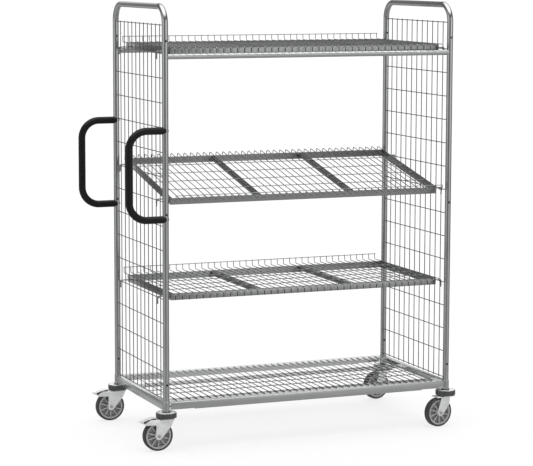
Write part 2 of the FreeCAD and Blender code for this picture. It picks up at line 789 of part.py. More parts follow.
def rim(name):
    """Moulded rim: hub, thin web, outer ring and radial ribs on both sides of the web."""
    body = doc.addObject("PartDesign::Body", name + "_body")
    bore, hub, outer = axle_bore_d / 2, size.rim_hub_d / 2, rim_d / 2
    ring = outer - size.rim_ring
    hub_half = size.fork_gap / 2 - size.running_gap
    web_half, rim_half = size.rim_web / 2, size.rim_width / 2
    profile = [(-hub_half, bore), (hub_half, bore), (hub_half, hub), (web_half, hub), (web_half, ring),
               (rim_half, ring), (rim_half, outer), (-rim_half, outer), (-rim_half, ring),
               (-web_half, ring), (-web_half, hub), (-hub_half, hub)]
    turned(body, profile, "H_Axis")
    half = size.spoke_thickness / 2
    root, tip = hub - size.spoke_thickness, ring + size.rim_ring / 2
    rib_outline = [(-half, root), (half, root), (half, tip), (-half, tip)]
    rib_sketch = outline(body, "XZ_Plane", rib_outline)
    rib = both_sides(body, "Pad", rib_sketch, size.spoke_width)
    doc.recompute()
    ribs = body.newObject("PartDesign::PolarPattern", name + "_ribs")
    ribs.Originals = [rib]
    ribs.Axis = (rib_sketch, ["N_Axis"])
    ribs.Angle = 360
    bind(ribs, "Occurrences", size.spoke_count)
    body.Tip = ribs
    return body


def tyre(name):
    """Solid tyre with rounded shoulders."""
    body = doc.addObject("PartDesign::Body", name + "_body")
    half, inner = size.tyre_width / 2, rim_d / 2 + size.fit
    ring = turned(body, [(-half, inner), (half, inner), (half, wheel_r), (-half, wheel_r)], "H_Axis")
    round_rims(body, ring, size.wheel_d, size.tyre_shoulder)
    return body


def pedal(name):
    """Brake lever on a cross pin between the cheeks, sloping down to its tread outside the wheel."""
    body = doc.addObject("PartDesign::Body", name + "_body")
    x, z = -size.pedal_pivot_x, pedal_pivot_z
    boss_r, thick = size.pedal_boss_d / 2, size.pedal_thickness
    tip = -size.pedal_reach
    profile = [(x, z + boss_r), (x, z - boss_r), (tip, pedal_tip_z), (tip, pedal_tip_z + thick)]
    both_sides(body, "Pad", circle(body, "XZ_Plane", x, z, size.pedal_boss_d), size.pedal_width)
    both_sides(body, "Pad", outline(body, "XZ_Plane", profile), size.pedal_width)
    both_sides(body, "Pad", circle(body, "XZ_Plane", x, z, size.pedal_pin_d), fork_width)
    return body


def caster(side, end):
    """One swivel caster under a post; the right ones stand turned a little."""
    name = side + "_" + end
    braked = side == "left"
    turn = ZERO if braked else size.right_swivel_degrees
    where = FreeCAD.Placement(point(post_x[side], post_y[end], 0), FreeCAD.Rotation(V(0, 0, 1), turn.value))
    straight = FreeCAD.Placement(point(post_x[side], post_y[end], 0), FreeCAD.Rotation())
    wheel_centre = FreeCAD.Placement(point(-size.caster_trail, 0, wheel_r), FreeCAD.Rotation())
    fixed = {"stem": stem, "race": race, "bumper": bumper}
    for kind, make in fixed.items():
        piece = make(name + "_" + kind)
        piece.Placement = straight
        node(piece, name + "_" + kind)
    swivelling = {"fork": fork(name + "_fork", braked), "axle": axle(name + "_axle")}
    if braked:
        swivelling["brake_pedal"] = pedal(name + "_brake_pedal")
    for kind, piece in swivelling.items():
        piece.Placement = where
        node(piece, name + "_" + kind)
    for kind, make in {"rim": rim, "tyre": tyre}.items():
        piece = make(name + "_" + kind)
        piece.Placement = where.multiply(wheel_centre)
        node(piece, name + "_" + kind)


base_rails()
deck()
corner_sockets()
for side_name in post_x:
    end_tube(side_name)
    end_mesh(side_name)
for end_name in post_y:
    top_tube(end_name)
    handle(end_name)
handle_screws()
shelf("top_shelf", top_row, top_row, False)
shelf("tilted_shelf", size.tilted_front_row_count, size.tilted_rear_row_count, True)
shelf("low_shelf", size.low_shelf_row_count, size.low_shelf_row_count, False)
for corner in CORNERS:
    caster(*corner)

doc.recompute()
for item in doc.Objects:
    if "Invalid" in item.State or "Error" in item.State:
        raise RuntimeError("%s failed: %s" % (item.Label, item.State))
for piece in nodes:
    if piece.Shape.isNull() or not piece.Shape.isValid() or not piece.Shape.Solids:
        raise RuntimeError("%s has no valid solid" % piece.Label)

os.makedirs("parts", exist_ok=True)
for piece in nodes:
    piece.Shape.exportStep("parts/%s.step" % piece.Label)
    print("%-28s %3d solids" % (piece.Label, len(piece.Shape.Solids)))
print(len(nodes), "sub-parts")
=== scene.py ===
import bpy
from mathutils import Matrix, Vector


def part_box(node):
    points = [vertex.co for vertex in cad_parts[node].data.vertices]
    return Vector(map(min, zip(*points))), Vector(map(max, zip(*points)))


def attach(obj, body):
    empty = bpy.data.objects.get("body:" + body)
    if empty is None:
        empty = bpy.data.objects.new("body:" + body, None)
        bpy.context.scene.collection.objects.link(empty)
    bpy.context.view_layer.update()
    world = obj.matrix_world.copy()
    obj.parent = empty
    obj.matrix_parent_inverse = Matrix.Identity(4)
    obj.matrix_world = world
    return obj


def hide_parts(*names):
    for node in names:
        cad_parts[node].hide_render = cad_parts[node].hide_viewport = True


bl_info = {
    "name": "Order Picking Trolley",
    "version": (1, 0, 0),
    "blender": (4, 5, 0),
    "location": "3D View > Sidebar > Trolley",
    "description": "Models and finishes a wheeled shelf trolley around its packed frame",
    "category": "Object",
}

import math

import bmesh
import bpy
from bpy.props import FloatProperty, FloatVectorProperty, IntProperty, PointerProperty
from mathutils import Matrix, Vector

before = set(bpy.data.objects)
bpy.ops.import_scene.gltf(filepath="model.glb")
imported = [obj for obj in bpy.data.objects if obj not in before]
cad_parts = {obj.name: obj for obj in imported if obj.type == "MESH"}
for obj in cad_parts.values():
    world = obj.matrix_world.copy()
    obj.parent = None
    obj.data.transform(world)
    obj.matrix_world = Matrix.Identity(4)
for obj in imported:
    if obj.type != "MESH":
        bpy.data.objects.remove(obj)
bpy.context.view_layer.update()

MM = 0.001
FIT = 0.05 * MM

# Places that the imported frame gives.
tube_low, tube_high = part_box("left_end_tube")
POST_D = tube_high.x - tube_low.x
POST_R = POST_D / 2
LEFT_X = tube_low.x + POST_R
RIGHT_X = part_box("right_end_tube")[0].x + POST_R
CENTRE_X = (LEFT_X + RIGHT_X) / 2
HALF_SPAN = (RIGHT_X - LEFT_X) / 2
FRONT_Y = tube_low.y + POST_R
REAR_Y = tube_high.y - POST_R
POST_FOOT = tube_low.z
POST_TOP = tube_high.z - POST_R
SOCKET_LOW, SOCKET_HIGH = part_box("corner_sockets")
SOCKET_R = LEFT_X - SOCKET_LOW.x
RAIL_LOW, RAIL_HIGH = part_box("front_rail")
END_RAIL_LOW, END_RAIL_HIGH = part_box("left_end_rail")
BAR_LOW, BAR_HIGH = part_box("deck_bar")
GRID_LOW, GRID_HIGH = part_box("deck_wires")
MESH_LOW, MESH_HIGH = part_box("left_end_mesh")
TOP_TUBE_LOW, TOP_TUBE_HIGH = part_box("front_top_tube")
GRIP_LOW, GRIP_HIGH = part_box("front_handle")
GRIP_R = (GRIP_HIGH.y - GRIP_LOW.y) / 2
TYRE_LOW, TYRE_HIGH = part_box("left_front_tyre")
WHEEL_R = (TYRE_HIGH.z - TYRE_LOW.z) / 2
TYRE_HALF = (TYRE_HIGH.y - TYRE_LOW.y) / 2
TRAIL = LEFT_X - (TYRE_LOW.x + WHEEL_R)
RIM_STEP = 8 * MM
RIM_HUB = 17 * MM
RIM_WEB = 3 * MM
BUMPER_LOW, BUMPER_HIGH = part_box("left_front_bumper")
BUMPER_R = (BUMPER_HIGH.y - BUMPER_LOW.y) / 2
FORK_LOW, FORK_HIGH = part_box("left_front_fork")
FORK_HALF = (FORK_HIGH.y - FORK_LOW.y) / 2
FORK_TOP = 132 * MM
RACE_LOW, RACE_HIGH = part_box("left_front_race")
RACE_R = (RACE_HIGH.y - RACE_LOW.y) / 2
SHELF_LOW, SHELF_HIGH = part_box("low_shelf_frame")

CORNERS = {
    "left_front": (LEFT_X, FRONT_Y, 0.0),
    "left_rear": (LEFT_X, REAR_Y, 0.0),
    "right_front": (RIGHT_X, FRONT_Y, math.radians(8)),
    "right_rear": (RIGHT_X, REAR_Y, math.radians(8)),
}
ROW_PITCH = 0.1
LOW_ROW = 0.32
ROW_COUNT = 14
COLUMN_PITCH = 0.05
COLUMN_COUNT = 11
MAT_PITCH = 0.03
MAT_COUNT = 41
DECK_COUNT = 40
HOOK_SPACING = 0.48
SHELF_HALF = (SHELF_HIGH.x - SHELF_LOW.x) / 2
SHELF_DEPTH = (SHELF_HIGH.y - SHELF_LOW.y) / 2
SHELF_BAR_LOW = -0.0085
SHELF_BAR_HIGH = 0.017
SIDE_BAR_HIGH = 0.0215
CROSS_PLACE = 0.209
LONG_WIRE_Z = 0.0188
MAT_Z = 0.02235
LIP_EDGE = 0.335
TURN_EDGE = 0.326
TURN_END = 0.0
LIP_TOP = MAT_Z + 0.02625
LIP_RAIL_Z = MAT_Z + 0.0245
PUNCHED_HEIGHTS = (0.27, 0.97, 1.67)
GRIP_HEIGHTS = (GRIP_LOW.z + GRIP_R, GRIP_HIGH.z - GRIP_R)
SHELF_HEIGHTS = {
    "top_shelf": LOW_ROW + 13 * ROW_PITCH,
    "tilted_shelf": LOW_ROW + 7.5 * ROW_PITCH,
    "low_shelf": LOW_ROW + 3 * ROW_PITCH,
}
SHELF_FLANGE = 6 * MM
DECK_LONG_WIRES = (-0.137, -0.051)
MAT_LONG_WIRES = (-0.165, -0.055, 0.055, 0.165)
HOOK_TAIL = -26 * MM
MAT_TURN = 3 * MM
RAIL_NOTCH = 105 * MM
NOTCH_RISE = 3 * MM
PEDAL_HALF = 17 * MM

# Fineness of round shapes, and distances under which two places count as one.
TUBE_SIDES = 40
BEND_STEPS = 18
SCREW_SIDES = 20
WHEEL_STEPS = 72
MERGE_GAP = 2e-6
SAME_PLACE = 1e-6
ON_RUN = 1e-4

# Bands of the studio light, as heights on the unit sphere.
EYE_BAND = (-0.16, 0.0)
GLOW_BAND = (-0.09, -0.03)
BELOW_BAND = (-0.12, -0.24)
DIM_BAND = (0.34, 0.46)
CEILING_BAND = (0.58, 0.85)

# Edges of the studio's panels, of its far wall and of the bright patch behind the camera.
PANEL_EDGE = (-0.8, 0.8)
FAR_EDGE = (0.74, 0.95)
NEAR_EDGE = (0.9, 0.97)
FADE = (0.0, 1.0)
CLOUD_SPREAD = (0.32, 0.68)
FLOOR_SIZE = 600.0
SENSOR_MM = 36.0


def length(name, text, size):
    return FloatProperty(name=name, description=text, default=size, min=0.0, unit="LENGTH", precision=4)


def colour(name, text, value):
    return FloatVectorProperty(name=name, description=text, default=value, min=0.0, max=1.0, size=3,
                               subtype="COLOR")


def amount(name, text, value):
    return FloatProperty(name=name, description=text, default=value, min=0.0)


def bearing(name, text, degrees):
    return FloatProperty(name=name, description=text, default=math.radians(degrees), subtype="ANGLE")


class TrolleySizes(bpy.types.PropertyGroup):
    """Sizes of the trolley's tube, wire and pressed parts"""

    post_wall: length("Post wall", "Wall of the end tubes", 1.5 * MM)
    corner_bend: length("Corner bend", "Radius of the end tubes' upper corners", 72 * MM)
    punched_hole: length("Punched hole", "Diameter of the round holes in the posts", 9 * MM)
    screw_hole: length("Screw hole", "Diameter of the holes for the handle screws", 6.1 * MM)
    mesh_wire: length("Mesh wire", "Diameter of the wire in the end meshes", 4 * MM)
    mat_wire: length("Mat wire", "Diameter of the wire in the shelf mats", 3.5 * MM)
    mat_bend: length("Mat bend", "Radius of the mat wires' turned ends", 8 * MM)
    deck_wire: length("Deck wire", "Diameter of the wire in the deck", 4 * MM)
    hook_wire: length("Hook wire", "Diameter of the shelf hooks", 6 * MM)
    handle_bend: length("Handle bend", "Radius of the handles' corners", 75 * MM)
    sheet: length("Sheet", "Thickness of the angle bars and forks", 3 * MM)
    fold: length("Fold", "Outer radius of folded sheet", 4 * MM)
    edge: length("Edge", "Rounding of cut sheet edges", 0.6 * MM)
    cross_width: length("Cross tube width", "Width of the cross tubes under the shelf mats", 22 * MM)
    cross_depth: length("Cross tube depth", "Depth of the cross tubes under the shelf mats", 17 * MM)
    shoulder: length("Tyre shoulder", "Rounding of the tyre's shoulders", 7 * MM)
    rib_count: IntProperty(name="Rim ribs", description="Ribs on each side of a rim", default=10, min=3,
                           max=24)


class TrolleyColours(bpy.types.PropertyGroup):
    """Colours of the trolley's finishes"""

    tube_zinc: colour("Tube zinc", "Plating on tubes and bars", (0.54, 0.545, 0.55))
    wire_zinc: colour("Wire zinc", "Plating on wires", (0.37, 0.375, 0.38))
    mesh_zinc: colour("Mesh zinc", "Plating on the end meshes", (0.25, 0.253, 0.256))
    shelf_zinc: colour("Shelf zinc", "Plating on the long bars of the shelves", (0.41, 0.414, 0.418))
    # Painted shade: a dark dull zinc for the shade under the shelf mats and the shadow line along the pedals'
    # sides.
    dull_zinc: colour("Dull zinc", "Cross tubes of the shelves and sides of the pedals", (0.1, 0.101, 0.103))
    bright_zinc: colour("Bright zinc", "Plating on forks and pedals", (0.8, 0.805, 0.81))
    # Zinc dish, coloured near white so that it also paints the highlight on the buffer discs' tops.
    dish_zinc: colour("Dish zinc", "Plated dishes on the buffer discs", (0.86, 0.865, 0.87))
    screw_steel: colour("Screw steel", "Screws, bolts and pins", (0.52, 0.52, 0.525))
    grip_black: colour("Grip black", "Handles", (0.006, 0.006, 0.0064))
    bumper_grey: colour("Bumper grey", "Buffer discs", (0.055, 0.056, 0.058))
    rim_grey: colour("Rim grey", "Wheel rims", (0.4, 0.402, 0.405))
    # Painted shade: darker grey on the rims' webs, for the shade in the recesses between the ribs.
    rim_web_painted_shade_grey: colour("Recess grey", "Webs between the ribs of the rims", (0.24, 0.242, 0.245))
    tyre_grey: colour("Tyre grey", "Tyres", (0.04, 0.04, 0.041))
    floor_white: colour("Floor white", "Studio floor", (0.18, 0.18, 0.18))


class TrolleyStage(bpy.types.PropertyGroup):
    """Camera and light of the studio"""

    lens: FloatProperty(name="Lens", description="Focal length on a 36 mm sensor", default=144.558, min=10.0)
    yaw: bearing("Yaw", "Camera turn about the vertical", 22.1805)
    pitch: bearing("Pitch", "Camera tilt below the horizon", 7.2888)
    roll: bearing("Roll", "Camera roll", 0.1443)
    place: FloatVectorProperty(name="Place", description="Camera position", size=3, subtype="TRANSLATION",
                               unit="LENGTH", default=(-3.4407, -8.4263, 1.9957))
    ceiling: amount("Ceiling", "Brightness of the light overhead", 2.6)
    mirrored_ceiling: amount("Mirrored ceiling", "Brightness that metal mirrors from above", 1.9)
    floor_glow: amount("Floor glow", "Light that the floor gives off by itself", 0.76)
    below: amount("Below", "Brightness that metal mirrors from below", 0.46)
    panel_pale: amount("Pale panels", "Brightness of the pale panels round the horizon", 0.58)
    panel_dark: amount("Dark panels", "Brightness of the dark panels round the horizon", 0.15)
    horizon: amount("Horizon", "How much brighter the panels are at eye level", 1.35)
    far_side: amount("Far side", "Brightness of the wall behind the trolley and its like in front", 1.0)
    wall_top: amount("Wall top", "Brightness of the dim band under the ceiling", 0.17)
    panel_count: IntProperty(name="Panels", description="Dark panels round the horizon", default=3, min=1,
                             max=9)
    panel_turn: bearing("Panel turn", "Turn of the panels' wave", 268)


# Modelling helpers.
def clear_selection():
    if bpy.context.mode != "OBJECT":
        bpy.ops.object.mode_set(mode="OBJECT")
    bpy.ops.object.select_all(action="DESELECT")


def pick(*pieces):
    """Selects only these objects; the first is active."""
    clear_selection()
    for piece in pieces:
        piece.select_set(True)
    bpy.context.view_layer.objects.active = pieces[0]


def edit_all(piece):
    pick(piece)
    bpy.ops.object.mode_set(mode="EDIT")
    bpy.ops.mesh.select_all(action="SELECT")


def leave_edit():
    bpy.ops.object.mode_set(mode="OBJECT")
    return bpy.context.object


def grow(step):
    bpy.ops.mesh.extrude_region_move(TRANSFORM_OT_translate={"value": tuple(step)})


def select_where(test, kind="VERT"):
    """Selects the edit mesh's vertices or faces whose place passes the test."""
    bpy.ops.mesh.select_mode(type=kind)
    bpy.ops.mesh.select_all(action="DESELECT")
    mesh = bmesh.from_edit_mesh(bpy.context.object.data)
    for item in mesh.verts if kind == "VERT" else mesh.faces:
        if test(item.co if kind == "VERT" else item.calc_center_median()):
            item.select_set(True)
    mesh.select_flush_mode()
    bmesh.update_edit_mesh(bpy.context.object.data)


def tidy_shell():
    bpy.ops.mesh.select_all(action="SELECT")
    bpy.ops.mesh.remove_doubles(threshold=MERGE_GAP)
    bpy.ops.mesh.normals_make_consistent(inside=False)


def start_ring(centre, direction, radius, sides):
    """Edge ring square to a direction, left in edit mode with all of it selected."""
    clear_selection()
    turn = Vector(direction).to_track_quat("Z", "Y").to_euler()
    bpy.ops.mesh.primitive_circle_add(vertices=sides, radius=radius, fill_type="NOTHING",
                                      location=tuple(centre), rotation=turn)
    bpy.ops.object.transform_apply(location=True, rotation=True, scale=True)
    edit_all(bpy.context.object)


def run_to(here, there, stops):
    """Extrudes the selected ring along a straight run, with extra rings at the stops on it."""
    span = there - here
    marks = []
    for stop in stops:
        along = (Vector(stop) - here).dot(span) / span.length_squared
        off = (here + along * span - Vector(stop)).length
        if 0.0 < along < 1.0 and off < ON_RUN:
            marks.append(along)
    last = 0.0
    for mark in sorted(marks) + [1.0]:
        grow(span * (mark - last))
        last = mark


def bent_tube(route, bend, radius, sides=16, steps=8, stops=(), capped=True):
    """Round bar or tube along straight runs with bends of one radius."""
    points = [Vector(p) for p in route]
    start_ring(points[0], points[1] - points[0], radius, sides)
    here = points[0]
    for corner, after in zip(points[1:-1], points[2:]):
        u, w = (corner - here).normalized(), (after - corner).normalized()
        turn = u.angle(w)
        tangent = bend * math.tan(turn / 2)
        start = corner - u * tangent
        run_to(here, start, stops)
        inward = (w - u * u.dot(w)).normalized()
        bpy.ops.mesh.spin(steps=steps, angle=-turn, center=tuple(start + inward * bend),
                          axis=tuple(u.cross(w).normalized()))
        here = corner + w * tangent
    run_to(here, points[-1], stops)
    bpy.ops.mesh.select_all(action="SELECT")
    if capped:
        bpy.ops.mesh.fill_holes(sides=0)
    tidy_shell()
    return leave_edit()


def start_chain(points):
    """Chain of edges through the points, left in edit mode with its last point selected."""
    clear_selection()
    points = [Vector(p) for p in points]
    bpy.ops.mesh.primitive_plane_add(size=10 * MM)
    edit_all(bpy.context.object)
    bpy.ops.mesh.merge(type="CENTER")
    bpy.ops.transform.translate(value=tuple(points[0]))
    for before, after in zip(points, points[1:]):
        grow(after - before)


def plate(outline, depth, rounds=()):
    """Flat outline, its named corners rounded, extruded by a depth vector."""
    start_chain(outline)
    bpy.ops.mesh.select_all(action="SELECT")
    bpy.ops.mesh.edge_face_add()
    for corner, radius, segments in rounds:
        corner = Vector(corner)
        select_where(lambda co: (co - corner).length < SAME_PLACE)
        bpy.ops.mesh.bevel(affect="VERTICES", offset=radius, segments=segments, offset_type="OFFSET")
    bpy.ops.mesh.select_mode(type="FACE")
    bpy.ops.mesh.select_all(action="SELECT")
    grow(depth)
    bpy.ops.mesh.select_mode(type="VERT")
    tidy_shell()
    return leave_edit()


def turned(profile, axis, steps, centre=(0, 0, 0)):
    """Closed profile of (radius, height) points spun once round an axis."""
    centre = Vector(centre)
    along = {"X": Vector((1, 0, 0)), "Y": Vector((0, 1, 0)), "Z": Vector((0, 0, 1))}[axis]
    across = Vector((0, 0, 1)) if axis != "Z" else Vector((1, 0, 0))
    points = [centre + across * r + along * h for r, h in profile]
    start_chain(points + points[:1])
    bpy.ops.mesh.select_all(action="SELECT")
    bpy.ops.mesh.remove_doubles(threshold=MERGE_GAP)
    bpy.ops.mesh.spin(steps=steps, angle=2 * math.pi, center=tuple(centre), axis=tuple(along))
    tidy_shell()
    return leave_edit()


def arc(centre, radius, start, end, count):
    """Points on an arc in profile coordinates, angles in degrees."""
    points = []
    for i in range(count + 1):
        angle = math.radians(start + (end - start) * i / count)
        points.append((centre[0] + radius * math.cos(angle), centre[1] + radius * math.sin(angle)))
    return points


def folded_angle(corner, leg, flange, along, sheet, fold, segments):
    """Angle bar run along a vector, from its outer corner, with a leg and a flange of folded sheet."""
    corner, leg, flange = Vector(corner), Vector(leg), Vector(flange)
    up, out = leg.normalized() * sheet, flange.normalized() * sheet
    inner = corner + up + out
    outline = [corner + leg, corner, corner + flange, corner + flange + up, inner, corner + leg + out]
    return plate(outline, along, [(corner, fold, segments), (inner, fold / 4, 2)])


def block(low, high, edge=0.0, segments=2):
    """Box between two corners with its edges rounded."""
    (x0, y0, z0), (x1, y1, z1) = low, high
    piece = plate([(x0, y0, z0), (x1, y0, z0), (x1, y1, z0), (x0, y1, z0)], (0, 0, z1 - z0))
    if edge:
        soften(piece, edge, segments)
    return piece


def apply_modifier(piece, kind, **settings):
    pick(piece)
    bpy.ops.object.modifier_add(type=kind)
    modifier = piece.modifiers[-1]
    for name, value in settings.items():
        setattr(modifier, name, value)
    bpy.ops.object.modifier_apply(modifier=modifier.name)


def soften(piece, width, segments=2, angle=40):
    apply_modifier(piece, "BEVEL", width=width, segments=segments, limit_method="ANGLE",
                   angle_limit=math.radians(angle), harden_normals=False)


def thicken(piece, wall):
    apply_modifier(piece, "SOLIDIFY", thickness=wall, offset=-1.0, use_even_offset=True)


def cut_with(piece, cutter, how="DIFFERENCE"):
    apply_modifier(piece, "BOOLEAN", operation=how, object=cutter, solver="EXACT")
    discard(cutter)


def repeat(piece, count, step):
    apply_modifier(piece, "ARRAY", count=count, use_relative_offset=False, use_constant_offset=True,
                   constant_offset_displace=tuple(step))
    return piece


def copied(source, place):
    """Copy with its own mesh, its place put into the mesh."""
    pick(source)
    bpy.ops.object.duplicate(linked=False)
    piece = bpy.context.object
    piece.matrix_world = place
    bpy.ops.object.transform_apply(location=True, rotation=True, scale=True)
    return piece


def discard(*models):
    for model in models:
        bpy.data.objects.remove(model, do_unlink=True)


def joined(pieces):
    pick(*pieces)
    if len(pieces) > 1:
        bpy.ops.object.join()
    return bpy.context.object


def straight_wire(start, end, diameter, sides=8):
    return bent_tube([start, end], 0.0, diameter / 2, sides)


def moved(x, y, z=0.0):
    return Matrix.Translation(Vector((x, y, z)))


def about_middle(turn):
    """Turn about the vertical through the middle of the trolley's posts."""
    middle = moved(CENTRE_X, 0)
    return middle @ Matrix.Rotation(turn, 4, "Z") @ middle.inverted()


def caster_place(corner):
    """Place of a caster under its post, turned as it stands."""
    x, y, turn = CORNERS[corner]
    return moved(x, y) @ Matrix.Rotation(turn, 4, "Z")


def dress(piece, name, body, finish, slot, *nodes, smooth=35):
    """Names a finished piece, gives it its finish and puts it in its node's place."""
    pick(piece)
    bpy.ops.object.shade_smooth_by_angle(angle=math.radians(smooth))
    piece.name = name
    piece.data.name = name
    piece.data.materials.clear()
    piece.data.materials.append(FINISHES[finish]())
    if len(piece.data.polygons) == 0:
        raise RuntimeError("%s has no faces" % name)
    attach(piece, body)
    if nodes:
        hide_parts(*nodes)
    return piece


def dress_pair(piece, place, sides, name, node, looks, slot, smooth=35):
    """Copies a piece of the frame to its other place and dresses both."""
    for each, side, look in zip((piece, copied(piece, place)), sides, looks):
        dress(each, "%s_%s" % (side, name), "frame", look, slot, "%s_%s" % (side, node), smooth=smooth)


def dress_faces(piece, finish, place, test):
    """Gives the faces whose centre, in the model's own coordinates, passes the test another finish."""
    back = place.inverted()
    piece.data.materials.append(FINISHES[finish]())
    edit_all(piece)
    select_where(lambda co: test(back @ co), "FACE")
    piece.active_material_index = len(piece.data.materials) - 1
    bpy.ops.object.material_slot_assign()
    bpy.ops.mesh.select_mode(type="VERT")
    leave_edit()


# Finishes.
def node_group(name, inputs, output, build):
    """Shader node group made once, with named number inputs and the output that its builder returns."""
    if name not in bpy.data.node_groups:
        group = bpy.data.node_groups.new(name, "ShaderNodeTree")
        for label in inputs:
            group.interface.new_socket(label, in_out="INPUT", socket_type="NodeSocketFloat")
        group.interface.new_socket(output, in_out="OUTPUT", socket_type="NodeSocketFloat")
        entry = group.nodes.new("NodeGroupInput")
        where = group.nodes.new("ShaderNodeTexCoord").outputs["Object"]
        leave = group.nodes.new("NodeGroupOutput")
        group.links.new(build(group, entry.outputs, where), leave.inputs[output])
    return bpy.data.node_groups[name]


def noise(group, where, scale, detail):
    texture = group.nodes.new("ShaderNodeTexNoise")
    texture.inputs["Detail"].default_value = detail
    feed(group, texture.inputs["Scale"], scale)
    feed(group, texture.inputs["Vector"], where)
    return texture.outputs["Fac"]


def cloud_group():
    """Soft cloudy mask of plated or moulded surfaces."""
    def build(group, given, where):
        return ranged(group, noise(group, where, given["Scale"], 3.0), CLOUD_SPREAD, FADE, "LINEAR")
    return node_group("surface_cloud", ["Scale"], "Mask", build)


def grain_group():
    """Fine grain as a height."""
    def build(group, given, where):
        return noise(group, where, given["Scale"], 2.0)
    return node_group("fine_grain", ["Scale"], "Height", build)


def streak_group():
    """Faint drawing marks, stretched along one axis by the three scales."""
    def build(group, given, where):
        scales = group.nodes.new("ShaderNodeCombineXYZ")
        for axis in "XYZ":
            feed(group, scales.inputs[axis], given["Across " + axis])
        stretch = group.nodes.new("ShaderNodeVectorMath")
        stretch.operation = "MULTIPLY"
        feed(group, stretch.inputs[0], where)
        feed(group, stretch.inputs[1], scales.outputs["Vector"])
        return noise(group, stretch.outputs["Vector"], 1.0, 2.0)
    return node_group("drawing_marks", ["Across X", "Across Y", "Across Z"], "Mask", build)


def place_group(tree, group, **values):
    node = tree.nodes.new("ShaderNodeGroup")
    node.node_tree = group
    for name, value in values.items():
        node.inputs[name.replace("_", " ")].default_value = value
    return node


def finish(name, base, metallic, rough, shade, cloud, grain, height, marks=None, specular=0.5):
    """Principled finish: cloudy colour and roughness, fine grain, and drawing marks where given."""
    if name in bpy.data.materials:
        return bpy.data.materials[name]
    material = bpy.data.materials.new(name)
    material.use_nodes = True
    tree = material.node_tree
    shader = tree.nodes["Principled BSDF"]
    shader.inputs["Metallic"].default_value = metallic
    shader.inputs["Specular IOR Level"].default_value = specular
    mask = place_group(tree, cloud_group(), Scale=cloud).outputs["Mask"]
    if marks:
        lines = place_group(tree, streak_group(), Across_X=marks[0], Across_Y=marks[1], Across_Z=marks[2])
        half = joined_math(tree, "MULTIPLY", mask, 0.5)
        mask = joined_math(tree, "MULTIPLY_ADD", lines.outputs["Mask"], 0.5, half)
    mix = tree.nodes.new("ShaderNodeMix")
    mix.data_type = "RGBA"
    mix.inputs["A"].default_value = (*[c * (1 - shade) for c in base], 1)
    mix.inputs["B"].default_value = (*[min(1.0, c * (1 + shade)) for c in base], 1)
    tree.links.new(mask, mix.inputs["Factor"])
    tree.links.new(mix.outputs["Result"], shader.inputs["Base Color"])
    feed(tree, shader.inputs["Roughness"], ranged(tree, mask, FADE, rough, "LINEAR"))
    fine = place_group(tree, grain_group(), Scale=grain)
    bump = tree.nodes.new("ShaderNodeBump")
    bump.inputs["Strength"].default_value = 1.0
    bump.inputs["Distance"].default_value = height * MM
    tree.links.new(fine.outputs["Height"], bump.inputs["Height"])
    tree.links.new(bump.outputs["Normal"], shader.inputs["Normal"])
    return material


def feed(tree, socket, value):
    """Links a socket to another one, or sets its value."""
    if isinstance(value, bpy.types.NodeSocket):
        tree.links.new(value, socket)
    else:
        socket.default_value = value


def joined_math(tree, operation, *values):
    node = tree.nodes.new("ShaderNodeMath")
    node.operation = operation
    for socket, value in zip(node.inputs, values):
        feed(tree, socket, value)
    return node.outputs["Value"]


def ranged(tree, value, source, target, step="SMOOTHSTEP"):
    node = tree.nodes.new("ShaderNodeMapRange")
    node.interpolation_type = step
    for name, number in zip(("From Min", "From Max", "To Min", "To Max"), (*source, *target)):
        node.inputs[name].default_value = number
    feed(tree, node.inputs["Value"], value)
    return node.outputs["Result"]


def mixed(tree, factor, first, second):
    node = tree.nodes.new("ShaderNodeMix")
    feed(tree, node.inputs["Factor"], factor)
    feed(tree, node.inputs["A"], first)
    feed(tree, node.inputs["B"], second)
    return node.outputs["Result"]


def hue(name, share=1.0):
    return tuple(c * share for c in getattr(bpy.context.scene.trolley_colours, name))


def bar_finish(name, base):
    return finish(name, base, 1.0, (0.23, 0.29), 0.05, 18.0, 650.0, 0.004, marks=(5.0, 90.0, 90.0))


def wire_finish(name, base):
    return finish(name, base, 1.0, (0.16, 0.26), 0.12, 30.0, 900.0, 0.004)


def moulded_finish(name, base, rough, shade, cloud, grain, height, specular=0.5):
    return finish(name, base, 0.0, rough, shade, cloud, grain, height, specular=specular)


